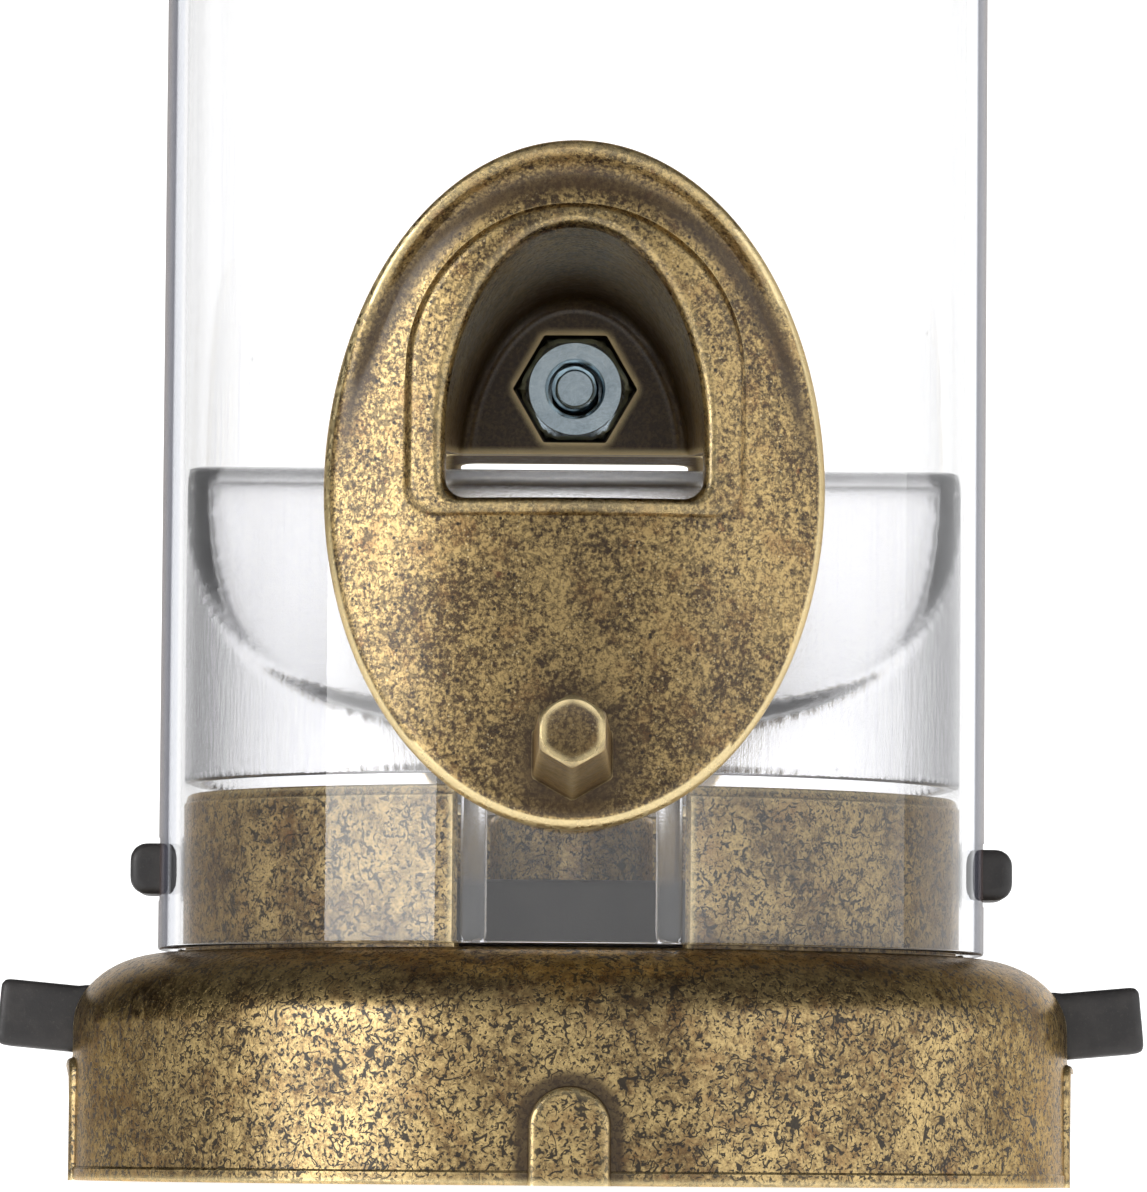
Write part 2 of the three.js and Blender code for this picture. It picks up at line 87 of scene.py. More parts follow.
PORT_LOW, PORT_HIGH = node_box("port_lower_front")
PORT_MIDDLE = (PORT_LOW.z + PORT_HIGH.z) / 2
PORT_HALF_W = PORT_HIGH.x
PORT_HALF_H = (PORT_HIGH.z - PORT_LOW.z) / 2
PORT_BACK = TUBE_R + 0.3
PORT_FACE = 41.5
PORT_LIP = -PORT_LOW.y
PERCH_LOW, PERCH_HIGH = node_box("perch_lower_front")
PERCH_Z = (PERCH_LOW.z + PERCH_HIGH.z) / 2
BOLT_LOW, BOLT_HIGH = node_box("port_bolt_lower")
BOLT_Z = (BOLT_LOW.z + BOLT_HIGH.z) / 2
LATCH_REACH = node_box("latch_right")[1].x
LATCH_HALF_WIDTH = 4.7
SPRING_LOW, SPRING_HIGH = node_box("latch_spring_right")
SPRING_Z = (SPRING_LOW.z + SPRING_HIGH.z) / 2
BAIL_LOW, BAIL_HIGH = node_box("bail_wire")
WIRE_R = 1.4
LID_LOW, LID_HIGH = node_box("lid")
UPPER_RISE = node_box("port_upper_right")[0].z - PORT_LOW.z
# limits for a cutter that goes right across the feeder
ACROSS = (-50, 50)


# ---- mesh tools
def in_scene(name, data):
    obj = bpy.data.objects.new(name, data)
    bpy.context.scene.collection.objects.link(obj)
    return obj


def mesh_object(name, vertices, faces):
    """A closed mesh from points in millimetres, with its faces turned outwards."""
    mesh = bpy.data.meshes.new(name)
    mesh.from_pydata([Vector(v) * MM for v in vertices], [], faces)
    made = bmesh.new()
    made.from_mesh(mesh)
    bmesh.ops.remove_doubles(made, verts=made.verts, dist=1e-7)
    bmesh.ops.recalc_face_normals(made, faces=made.faces)
    made.to_mesh(mesh)
    made.free()
    return in_scene(name, mesh)


def quads(a, b, count):
    """The faces between two loops of count points, the first of which are points a and b."""
    return [(a + j, a + (j + 1) % count, b + (j + 1) % count, b + j) for j in range(count)]


def loft(name, loops, ring=False):
    """A skin over loops of equally many points. It closes on itself, or its two ends are capped."""
    count = len(loops[0])
    vertices = [p for loop in loops for p in loop]
    faces = []
    last = len(loops) if ring else len(loops) - 1
    for i in range(last):
        faces += quads(i * count, ((i + 1) % len(loops)) * count, count)
    if not ring:
        faces.append(tuple(reversed(range(count))))
        faces.append(tuple(range((len(loops) - 1) * count, len(loops) * count)))
    return mesh_object(name, vertices, faces)


def circle(radius, sides=48):
    return [(radius * cos(2 * pi * i / sides), radius * sin(2 * pi * i / sides)) for i in range(sides)]


def turned(name, profile, segments=192):
    """A (radius, height) profile turned round Z. It starts and ends on the axis, or is closed."""
    open_ended = profile[0][0] < 1e-6
    inner = profile[1:-1] if open_ended else profile
    vertices, faces = [], []
    for r, z in inner:
        vertices += [(x, y, z) for x, y in circle(r, segments)]
    rings = len(inner)
    for i in range(rings if not open_ended else rings - 1):
        faces += quads(i * segments, ((i + 1) % rings) * segments, segments)
    if open_ended:
        for end, start in ((profile[0], 0), (profile[-1], (rings - 1) * segments)):
            vertices.append((0, 0, end[1]))
            for j in range(segments):
                faces.append((start + j, start + (j + 1) % segments, len(vertices) - 1))
    return mesh_object(name, vertices, faces)


def rounded(corners, radii, steps=4, closed=True):
    """The points of a polygon with an arc of each corner's radius in place of the corner."""
    points = []
    count = len(corners)
    for i, corner in enumerate(corners):
        radius = radii[i] if isinstance(radii, (list, tuple)) else radii
        if radius == 0 or (not closed and i in (0, count - 1)):
            points.append(tuple(corner))
            continue
        here = Vector(corner)
        before = (Vector(corners[i - 1]) - here).normalized()
        after = (Vector(corners[(i + 1) % count]) - here).normalized()
        half = before.angle(after) / 2
        reach = radius / math.tan(half)
        centre = here + (before + after).normalized() * (radius / sin(half))
        first, final = here + before * reach - centre, here + after * reach - centre
        for s in range(steps + 1):
            spoke = first.lerp(final, s / steps).normalized() * radius
            points.append(tuple(centre + spoke))
    return points


def offset(outline, amount):
    """A closed outline of (x, z) points, moved outwards by amount. The points run anticlockwise."""
    moved = []
    count = len(outline)
    for i in range(count):
        before, here, after = (Vector(outline[(i + d) % count]) for d in (-1, 0, 1))
        along = (here - before).normalized() + (after - here).normalized()
        along.normalize()
        moved.append((here.x + along.y * amount, here.y - along.x * amount))
    return moved


def slab(name, outline, low, high, place, edge=0.3, steps=3):
    """An outline extruded from low to high with rounded edges. place turns (u, v, height) into a point."""
    arc = [(edge * (1 - sin(a)), edge * (1 - cos(a))) for a in np.linspace(0, pi / 2, steps + 1)]
    rings = [(inset, low + rise) for inset, rise in arc] + [(inset, high - rise) for inset, rise in arc[::-1]]
    return loft(name, [[place(u, v, h) for u, v in offset(outline, -inset)] for inset, h in rings])


def along_x(u, v, h):
    return (h, u, v)


def along_y(u, v, h):
    return (u, h, v)


def along_z(u, v, h):
    return (u, v, h)


def rectangle(u0, u1, v0, v1, radius=0.5, steps=4):
    return rounded([(u0, v0), (u1, v0), (u1, v1), (u0, v1)], radius, steps)


def bar(x, y, z, radius=0.4, edge=0.3):
    """A bar with rounded edges, between pairs of limits along each axis."""
    return slab("bar", rectangle(*y, *z, radius), x[0], x[1], along_x, edge)


def block(x, y, z):
    """A plain block, for cutting."""
    corners = [(x[0], y[0]), (x[1], y[0]), (x[1], y[1]), (x[0], y[1])]
    return loft("block", [[(u, v, h) for u, v in corners] for h in z])


def rod(radius, place, limits, centre=(0, 0, 0), sides=48):
    """A plain round rod along the axis that place gives it, for cutting."""
    shift = Vector(centre)
    return loft("rod", [[Vector(place(u, v, h)) + shift for u, v in circle(radius, sides)] for h in limits])


def evaluated(obj):
    """Applies an object's modifiers to its mesh."""
    bpy.context.view_layer.update()
    graph = bpy.context.evaluated_depsgraph_get()
    mesh = bpy.data.meshes.new_from_object(obj.evaluated_get(graph))
    obj.modifiers.clear()
    spent = obj.data
    obj.data = mesh
    bpy.data.meshes.remove(spent)


def combine(target, tools, operation):
    """Joins tools to target, cuts them from it, or keeps what they share, and removes the tools."""
    for tool in tools:
        modifier = target.modifiers.new("solid", "BOOLEAN")
        modifier.operation = operation
        modifier.solver = "MANIFOLD"
        modifier.object = tool
        evaluated(target)
        spent = tool.data
        bpy.data.objects.remove(tool)
        bpy.data.meshes.remove(spent)
    return target


def union(target, *tools):
    return combine(target, tools, "UNION")


def cut(target, *tools):
    return combine(target, tools, "DIFFERENCE")


def shared(target, *tools):
    return combine(target, tools, "INTERSECT")


def turn(obj, degrees, rise=0.0):
    """Turns an object's mesh about the tube's axis and lifts it, in millimetres."""
    obj.data.transform(Matrix.Translation((0, 0, rise * MM)) @ Matrix.Rotation(radians(degrees), 4, "Z"))
    return obj


def copied(obj):
    return in_scene(obj.name, obj.data.copy())


def smooth(obj, angle=32):
    """Smooth shading up to an angle. Broad faces stay flat and the narrow ones beside them turn."""
    obj.data.shade_smooth()
    obj.data.set_sharp_from_angle(angle=radians(angle))
    weighted = obj.modifiers.new("weighted", "WEIGHTED_NORMAL")
    weighted.mode = "FACE_AREA_WITH_ANGLE"
    weighted.weight = 60
    weighted.keep_sharp = True
    evaluated(obj)


def piece(obj, name, node, body, material, angle=32):
    """Finishes a piece: its name, shading and material, the CAD node it stands for and the body it rides on."""
    obj.name = name
    obj.data.name = name
    smooth(obj, angle)
    obj.data.materials.clear()
    obj.data.materials.append(material)
    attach(obj, body)
    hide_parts(node)
    return obj


def sweep(name, path, radius, sides):
    """A round wire along a path of points in millimetres, with domed ends."""
    points = [Vector(p) for p in path]
    tangents = []
    for i in range(len(points)):
        ahead = points[min(i + 1, len(points) - 1)]
        behind = points[max(i - 1, 0)]
        tangents.append((ahead - behind).normalized())
    normal = tangents[0].orthogonal().normalized()
    frames = []
    for tangent in tangents:
        normal = (normal - tangent * normal.dot(tangent)).normalized()
        frames.append((normal.copy(), tangent.cross(normal)))

    def loop(i, r, ahead):
        u, v = frames[i]
        middle = points[i] + tangents[i] * ahead
        angles = [2 * pi * j / sides for j in range(sides)]
        return [middle + (u * cos(a) + v * sin(a)) * r for a in angles]

    dome = [(cos(a), sin(a)) for a in np.linspace(radians(80), radians(20), 4)]
    loops = [loop(0, radius * c, -radius * 0.5 * s) for c, s in dome]
    loops += [loop(i, radius, 0) for i in range(len(points))]
    loops += [loop(len(points) - 1, radius * c, radius * 0.5 * s) for c, s in reversed(dome)]
    return loft(name, loops)


def rubbed_smooth(obj, voxel, rounds):
    """Rebuilds a mesh on an even grid and relaxes it, so that its edges are rounded like a moulding's."""
    remesh = obj.modifiers.new("grid", "REMESH")
    remesh.mode = "VOXEL"
    remesh.voxel_size = voxel * MM
    relax = obj.modifiers.new("relax", "SMOOTH")
    relax.factor = 0.5
    relax.iterations = rounds
    evaluated(obj)
    return obj


def patina_and_painted_light(obj, amount):
    """Stores a value worked out from each vertex's position, for patination and painted light: 1 is darkest, -1
    is a painted highlight.
    """
    layer = obj.data.attributes.new("patina_and_painted_light", "FLOAT", "POINT")
    for vertex, item in zip(obj.data.vertices, layer.data):
        item.value = min(max(amount(vertex.co / MM), -1.0), 1.0)
    return obj


# ---- node tools for materials
class Nodes:
    """Builds the nodes of one tree. An input is another node's output or a plain value."""

    def __init__(self, tree):
        self.tree = tree
        tree.nodes.clear()

    def feed(self, socket, value):
        """Links an output to a socket, or sets the socket's own value."""
        if isinstance(value, bpy.types.NodeSocket):
            self.tree.links.new(value, socket)
        else:
            socket.default_value = value

    def node(self, kind, inputs, **settings):
        """Adds a node with some of its inputs, by name or number, and some of its settings."""
        made = self.tree.nodes.new(kind)
        for key, value in settings.items():
            setattr(made, key, value)
        for key, value in inputs.items():
            self.feed(made.inputs[key], value)
        return made

    def vector(self, operation, a, b):
        return self.node("ShaderNodeVectorMath", {0: a, 1: b}, operation=operation).outputs[0]

    def maths(self, operation, a, b=0.0, clamp=False):
        return self.node("ShaderNodeMath", {0: a, 1: b}, operation=operation, use_clamp=clamp).outputs[0]

    def plus(self, a, b, clamp=False):
        return self.maths("ADD", a, b, clamp)

    def minus(self, a, b, clamp=False):
        return self.maths("SUBTRACT", a, b, clamp)

    def times(self, a, b):
        return self.maths("MULTIPLY", a, b)

    def most(self, a, b):
        return self.maths("MAXIMUM", a, b)

    def ramp(self, value, low, high, to_low=0.0, to_high=1.0, soft=True):
        """A value mapped from low..high to to_low..to_high and held there."""
        limits = {"From Min": low, "From Max": high, "To Min": to_low, "To Max": to_high}
        curve = "SMOOTHSTEP" if soft else "LINEAR"
        return self.node(
            "ShaderNodeMapRange", {"Value": value, **limits}, clamp=True, interpolation_type=curve
        ).outputs[0]


class Shader(Nodes):
    """Builds one node material, with object coordinates in millimetres."""

    def __init__(self, name):
        self.material = bpy.data.materials.new(name)
        self.material.use_nodes = True
        super().__init__(self.material.node_tree)
        self.surface = self.node("ShaderNodeBsdfPrincipled", {})
        self.output = self.node("ShaderNodeOutputMaterial", {"Surface": self.surface.outputs[0]})
        coordinates = self.node("ShaderNodeTexCoord", {})
        self.position = self.vector("MULTIPLY", coordinates.outputs["Object"], (1 / MM,) * 3)

    def set(self, **values):
        for name, value in values.items():
            self.feed(self.surface.inputs[name.replace("_", " ")], value)

    def stretched(self, x, y, z):
        """Position with each axis scaled, for grain that runs one way."""
        return self.vector("MULTIPLY", self.position, (x, y, z))

    def noise(self, scale, detail=3.0, roughness=0.55, vector=None, distortion=0.0):
        inputs = {"Scale": scale, "Detail": detail, "Roughness": roughness, "Distortion": distortion}
        return self.node("ShaderNodeTexNoise", {"Vector": vector or self.position, **inputs}).outputs[0]

    def cells(self, scale):
        return self.node("ShaderNodeTexVoronoi", {"Vector": self.position, "Scale": scale})

    def from_origin(self, vector):
        return self.node("ShaderNodeVectorMath", {0: vector}, operation="LENGTH").outputs["Value"]

    def facing(self):
        """How edge on the surface is seen, from 0 to 1."""
        return self.node("ShaderNodeLayerWeight", {"Blend": 0.5}).outputs["Facing"]

    def mix(self, share, a, b):
        return self.node("ShaderNodeMix", {"Factor": share, 6: a, 7: b}, data_type="RGBA").outputs[2]

    def stain(self, colour, share, strength, *stain):
        """A colour with an sRGB stain mixed over it, where share says, up to a strength."""
        return self.mix(self.times(share, strength), colour, rgb(*stain))

    def corners(self, distance, inside=False):
        """How closely the surface is shut in by others within a distance in millimetres, from 0 to 1."""
        reach = {"Distance": distance * MM}
        shut = self.node("ShaderNodeAmbientOcclusion", reach, samples=6, inside=inside, only_local=True)
        return self.minus(1.0, shut.outputs["AO"], clamp=True)

    def bump(self, height, depth, strength):
        """Relief of a depth in millimetres."""
        relief = {"Strength": strength, "Distance": depth * MM, "Height": height}
        return self.node("ShaderNodeBump", relief).outputs[0]

    def lets_lamps_through(self, colour):
        """Lets the rays of lamps pass straight through, so that what is inside is lit."""
        clear = self.node("ShaderNodeBsdfTransparent", {"Color": colour})
        lamp_ray = self.node("ShaderNodeLightPath", {}).outputs["Is Shadow Ray"]
        mixed = self.node("ShaderNodeMixShader", {0: lamp_ray, 1: self.surface.outputs[0], 2: clear.outputs[0]})
        self.feed(self.output.inputs["Surface"], mixed.outputs[0])


def rgb(r, g, b):
    """A colour from sRGB numbers out of 255."""

    def linear(c):
        c /= 255
        return c / 12.92 if c <= 0.04045 else ((c + 0.055) / 1.055) ** 2.4

    return (linear(r), linear(g), linear(b), 1.0)


def squiggles(s, scale, width, cover):
    """Short strokes a tenth or two of a millimetre wide: contour lines of one noise, broken up by another."""
    wander = s.noise(scale, 1.5, 0.5, distortion=0.5)
    line = s.ramp(s.maths("ABSOLUTE", s.minus(wander, 0.5)), width * 0.5, width, 1.0, 0.0)
    return s.times(line, s.ramp(s.noise(scale * 1.6, 2, 0.5), cover, cover + 0.05))


def base_patina_and_shoulder_shade(s):
    """Patina beside the arched pads at the base's front and back, and a weaker painted shade on its shoulder.
    """
    from_arch = s.vector("ADD", s.position, (0, 0, -ARCHED_PAD_SPRING))
    from_arch = s.vector("MULTIPLY", from_arch, (1, 0, 1))
    far_left = (-1000, 0, 0)
    from_arch = s.vector("MAXIMUM", from_arch, far_left)
    away = s.minus(s.from_origin(from_arch), ARCHED_PAD_HALF_WIDTH)
    beside = s.times(s.ramp(away, 0.0, 2.4, 1.0, 0.0), s.ramp(away, -0.15, 0.05))
    height = s.node("ShaderNodeSeparateXYZ", {0: s.position}).outputs["Z"]
    # painted shade on the shoulder, standing in for the dim room it mirrors
    shoulder = s.times(s.ramp(height, 14.5, 18.0, 0.0, 0.10), s.ramp(height, 21.0, 21.3, 1.0, 0.0))
    return s.most(beside, shoulder)


def antique_brass(name, speckle, marking, graining, pale, deep):
    """Lacquered castings in antique brass: mottled and pitted, darkened in the corners by patination and
    painted shade, and paler on the edges from wear and painted highlights.
    """
    s = Shader(name)
    mottle = s.noise(0.9, 6, 0.72)
    fine = s.noise(3.0, 4, 0.72)
    tone = s.plus(s.times(mottle, 0.8), s.times(s.noise(0.14, 4, 0.65), 0.7))
    grain = s.times(s.minus(s.noise(2.6, 4, 0.7), 0.5), graining)
    colour = s.mix(s.ramp(s.plus(tone, grain), 0.56, 0.92), deep, pale)
    warm = s.ramp(s.noise(0.22, 4, 0.65), 0.50, 0.68)
    colour = s.stain(colour, warm, 0.45, 134, 96, 52)
    grains = s.ramp(s.noise(4.2, 3, 0.6), 0.50, 0.62)
    colour = s.stain(colour, grains, 0.5, 92, 76, 46)
    rust = s.ramp(s.noise(0.5, 2, 0.5), 0.70, 0.76)
    colour = s.stain(colour, rust, 0.3, 140, 84, 48)

    # marks that hold the dark patina: long cracks, short squiggles, round pits and blots
    marks = s.most(squiggles(s, 0.36, 0.016, 0.50), squiggles(s, 0.85, 0.05, 0.50))
    marks = s.most(marks, squiggles(s, 1.5, 0.055, 0.50))
    marks = s.times(marks, marking)
    pits = s.cells(1.1)
    chosen = s.ramp(pits.outputs["Color"], 0.60, 0.62)
    pit = s.times(s.ramp(pits.outputs["Distance"], 0.12, 0.22, 1.0, 0.0), chosen)
    blot = s.times(s.ramp(s.noise(0.45, 7, 0.75), 0.60, 0.68), 0.5)
    marks = s.most(marks, s.most(pit, blot))
    colour = s.stain(colour, marks, 0.95, 28, 21, 13)

    # bright flecks where the high grains are rubbed
    flecks = s.cells(2.6)
    lit = s.ramp(flecks.outputs["Color"], 0.70, 0.74)
    fleck = s.times(s.ramp(flecks.outputs["Distance"], 0.12, 0.32, 1.0, 0.0), lit)
    fleck = s.times(fleck, speckle)
    colour = s.mix(fleck, colour, rgb(236, 216, 168))

    # patina and painted shade where the shape shuts it in, painted shade from each vertex's stored value and on
    # the base's shoulder; worn metal and painted highlights on the edges
    breakup = s.times(s.minus(mottle, 0.5), 0.7)
    shut = s.ramp(s.plus(s.corners(3.2), breakup), 0.16, 0.62)
    depth = s.node("ShaderNodeAttribute", {}, attribute_name="patina_and_painted_light").outputs["Fac"]
    dark_patina_and_painted_shade = s.ramp(s.plus(depth, s.times(breakup, 0.8)), 0.05, 0.95, soft=False)
    dark_patina_and_painted_shade = s.times(dark_patina_and_painted_shade, s.ramp(depth, 0.0, 0.06))
    base_patina_and_shade = s.ramp(s.plus(base_patina_and_shoulder_shade(s), s.times(breakup, 0.8)), 0.1, 0.7)
    dark_patina_and_painted_shade = s.most(dark_patina_and_painted_shade, base_patina_and_shade)
    patina_and_painted_light = s.most(s.times(shut, 0.85), s.times(dark_patina_and_painted_shade, 0.88))
    colour = s.mix(patina_and_painted_light, colour, rgb(58, 42, 24))
    # worn metal and a painted highlight on the edges
    rubbed_wear_and_highlight = s.ramp(s.corners(0.8, inside=True), 0.09, 0.32)
    # negative stored values add a painted highlight along the port's rim
    rubbed_wear_and_highlight = s.most(rubbed_wear_and_highlight, s.ramp(depth, -0.9, -0.1, 1.0, 0.0))
    colour = s.stain(colour, rubbed_wear_and_highlight, 0.85, 240, 218, 164)

    rough = s.ramp(mottle, 0.3, 0.7, 0.24, 0.38)
    rough = s.plus(rough, s.times(s.most(marks, patina_and_painted_light), 0.22), clamp=True)
    height = s.plus(s.times(fine, 0.55), s.times(mottle, 0.8))
    height = s.minus(height, s.times(marks, 0.7))
    height = s.plus(height, s.times(fleck, 0.5))
    metal = s.minus(1.0, s.times(s.most(marks, patina_and_painted_light), 0.55))
    s.set(Base_Color=colour, Roughness=rough, Metallic=metal, Normal=s.bump(height, 0.035, 1.0))
    s.set(Specular_Tint=(0.74, 0.53, 0.28, 1), Specular_IOR_Level=0.1)
    s.set(Coat_Weight=0.45, Coat_Roughness=0.26, Coat_IOR=1.7)
    return s.material


def clear_plastic():
    """Clear polycarbonate with hairline scratches, and painted shade where its outer wall is seen edge on."""
    s = Shader("clear_plastic")
    facing = s.facing()
    radius = s.from_origin(s.stretched(1, 1, 0))
    outside = s.ramp(radius, TUBE_R - 1.4, TUBE_R - 0.7)
    # painted shade on the outer wall seen edge on: a pale line, then a dark band in place of the dark that
    # refraction would show
    painted_edge_line = s.times(s.ramp(facing, 0.70, 0.73), outside)
    edge_on_painted_shade = s.times(s.ramp(facing, 0.765, 0.80), outside)
    hair = s.noise(1.0, 4, 0.6, vector=s.stretched(3.0, 3.0, 0.05))
    specks = s.cells(0.16)
    speck = s.ramp(specks.outputs["Distance"], 0.02, 0.035, 1.0, 0.0)
    clear = s.mix(s.ramp(hair, 0.45, 0.8), rgb(254, 254, 254), rgb(246, 246, 249))
    clear = s.stain(clear, speck, 0.5, 190, 190, 192)
    clear = s.mix(painted_edge_line, clear, rgb(222, 226, 236))
    edge_on_shade_colour = s.mix(s.ramp(facing, 0.82, 0.93), rgb(84, 84, 94), rgb(98, 84, 80))
    s.set(
        Base_Color=s.mix(edge_on_painted_shade, clear, edge_on_shade_colour),
        Roughness=s.ramp(hair, 0.5, 0.75, 0.0, 0.02),
        IOR=1.58,
        Specular_IOR_Level=0.0,
        Transmission_Weight=s.minus(1.0, s.times(edge_on_painted_shade, 0.6)),
        Normal=s.bump(hair, 0.004, 0.1),
    )
    s.lets_lamps_through((0.95, 0.95, 0.97, 1))
    return s.material


def frosted_plastic():
    """Clear plastic from a finely textured mould: it blurs what is behind it, with painted shade where its
    curves are seen edge on.
    """
    s = Shader("frosted_plastic")
    streak = s.noise(1.0, 5, 0.65, vector=s.stretched(2.6, 2.6, 0.35))
    grain = s.noise(6.0, 3, 0.6)
    facing = s.facing()
    # painted shade where the surface is seen edge on
    curve = s.ramp(facing, 0.75, 1.0)
    body = s.mix(s.ramp(streak, 0.3, 0.75), rgb(255, 255, 255), rgb(249, 249, 252))
    s.set(
        Base_Color=s.mix(curve, body, rgb(206, 203, 216)),
        Roughness=s.ramp(grain, 0.3, 0.7, 0.09, 0.17),
        IOR=1.45,
        Specular_IOR_Level=0.4,
        Transmission_Weight=1.0,
        Normal=s.bump(s.plus(streak, s.times(grain, 0.5)), 0.035, 0.6),
    )
    s.lets_lamps_through((0.85, 0.85, 0.88, 1))
    return s.material


def black_plastic():
    """Moulded black plastic with a spark-eroded grain, paler on the edges from wear and a painted highlight."""
    s = Shader("black_plastic")
    grain = s.noise(3.5, 4, 0.6)
    cloud = s.noise(0.35, 3, 0.6)
    colour = s.mix(s.ramp(cloud, 0.35, 0.7), rgb(46, 44, 44), rgb(60, 57, 56))
    colour = s.stain(colour, s.ramp(grain, 0.55, 0.75), 0.3, 96, 92, 88)
    # paler edges: wear and a painted highlight
    rubbed_wear_and_highlight = s.ramp(s.corners(0.7, inside=True), 0.5, 0.85)
    colour = s.stain(colour, rubbed_wear_and_highlight, 0.5, 118, 112, 106)
    s.set(
        Base_Color=colour,
        Roughness=s.ramp(grain, 0.3, 0.7, 0.38, 0.55),
        IOR=1.5,
        Normal=s.bump(grain, 0.04, 0.5),
    )
    return s.material


def plated_steel(name, pale, deep, along=(1.0, 1.0, 1.0), roughness=(0.16, 0.34)):
    """Plated or drawn steel with fine lines."""
    s = Shader(name)
    lines = s.noise(2.2, 5, 0.7, vector=s.stretched(*along))
    cloud = s.noise(0.5, 4, 0.6)
    colour = s.mix(s.ramp(cloud, 0.35, 0.7), pale, deep)
    colour = s.stain(colour, s.ramp(lines, 0.55, 0.72), 0.25, 120, 128, 134)
    s.set(
        Base_Color=colour,
        Metallic=1.0,
        Roughness=s.ramp(lines, 0.3, 0.7, *roughness),
        Normal=s.bump(lines, 0.015, 0.5),
    )
    return s.material


BRASS_SMOOTH = antique_brass("antique_brass_smooth", 0.15, 1.0, 0.5, rgb(202, 174, 116), rgb(96, 72, 38))
BRASS_GRAINED = antique_brass("antique_brass_grained", 0.4, 0.5, 1.3, rgb(186, 158, 102), rgb(62, 44, 24))
CLEAR = clear_plastic()
FROSTED = frosted_plastic()
BLACK = black_plastic()
ZINC = plated_steel("zinc_plate", rgb(196, 210, 217), rgb(176, 191, 199), roughness=(0.12, 0.24))
WIRE = plated_steel("stainless_wire", rgb(214, 212, 206), rgb(188, 187, 182), (6.0, 6.0, 0.4), (0.18, 0.3))
SPRING_STEEL = plated_steel("spring_steel", rgb(200, 200, 202), rgb(170, 172, 176))


# ---- tube
ARCH_STEPS = 64


def arch(half_width, bottom, spring, top, corner, inset=0.0):
    """An arch, anticlockwise: rounded lower corners, straight sides and a half-elliptical head."""
    half_width, bottom, top, corner = half_width - inset, bottom + inset, top - inset, max(corner - inset, 0.05)
    points = []
    for side, start in ((1, -pi / 2), (-1, pi)):
        centre = (side * (half_width - corner), bottom + corner)
        turns = np.linspace(start, start + pi / 2, 7)
        points.append([(centre[0] + corner * cos(a), centre[1] + corner * sin(a)) for a in turns])
    rise = top - spring
    head = [(half_width * cos(a), spring + rise * sin(a)) for a in np.linspace(0, pi, ARCH_STEPS + 1)]
    return points[0] + head + points[1]


MOUTH = dict(half_width=11.5, bottom=60.2, spring=65.5, top=84.2, corner=1.9)
FRAME = dict(half_width=14.8, bottom=58.7, spring=71.5, top=86.0, corner=2.6)
HOOD_WALL = 1.6
HOOD_BACK = 0.15
HOOD_RECESS = 5.3
MOUTH_FRONT = 43.0
HOOD_SHRINK = 0.922
HOOD_DROP = 2.8
HOOD_FOOT_INSIDE, HOOD_FOOT_AT_WALL = 67.4, 64.7
NUT_FLATS = 9.4


def make_tube():
    """The tube, with holes for the four ports, the two hooks and the wire."""
    profile = rectangle(TUBE_INNER, TUBE_R, TUBE_LOW.z, TUBE_HIGH.z, 0.25, 3)
    tube = turned("tube", profile, 256)
    clearance = HOOD_WALL + 0.4
    lower = slab("hole", offset(arch(**MOUTH), clearance), *ACROSS, along_y, 0.1)
    upper = turn(copied(lower), 90, UPPER_RISE)
    latch_hole = bar(ACROSS, (-4.6, 4.6), (25.7, 31.6), 0.6, 0.1)
    bail_hole = rod(2.6, along_x, ACROSS, (0, 0, BAIL_LOW.z + WIRE_R))
    return cut(tube, lower, upper, latch_hole, bail_hole)


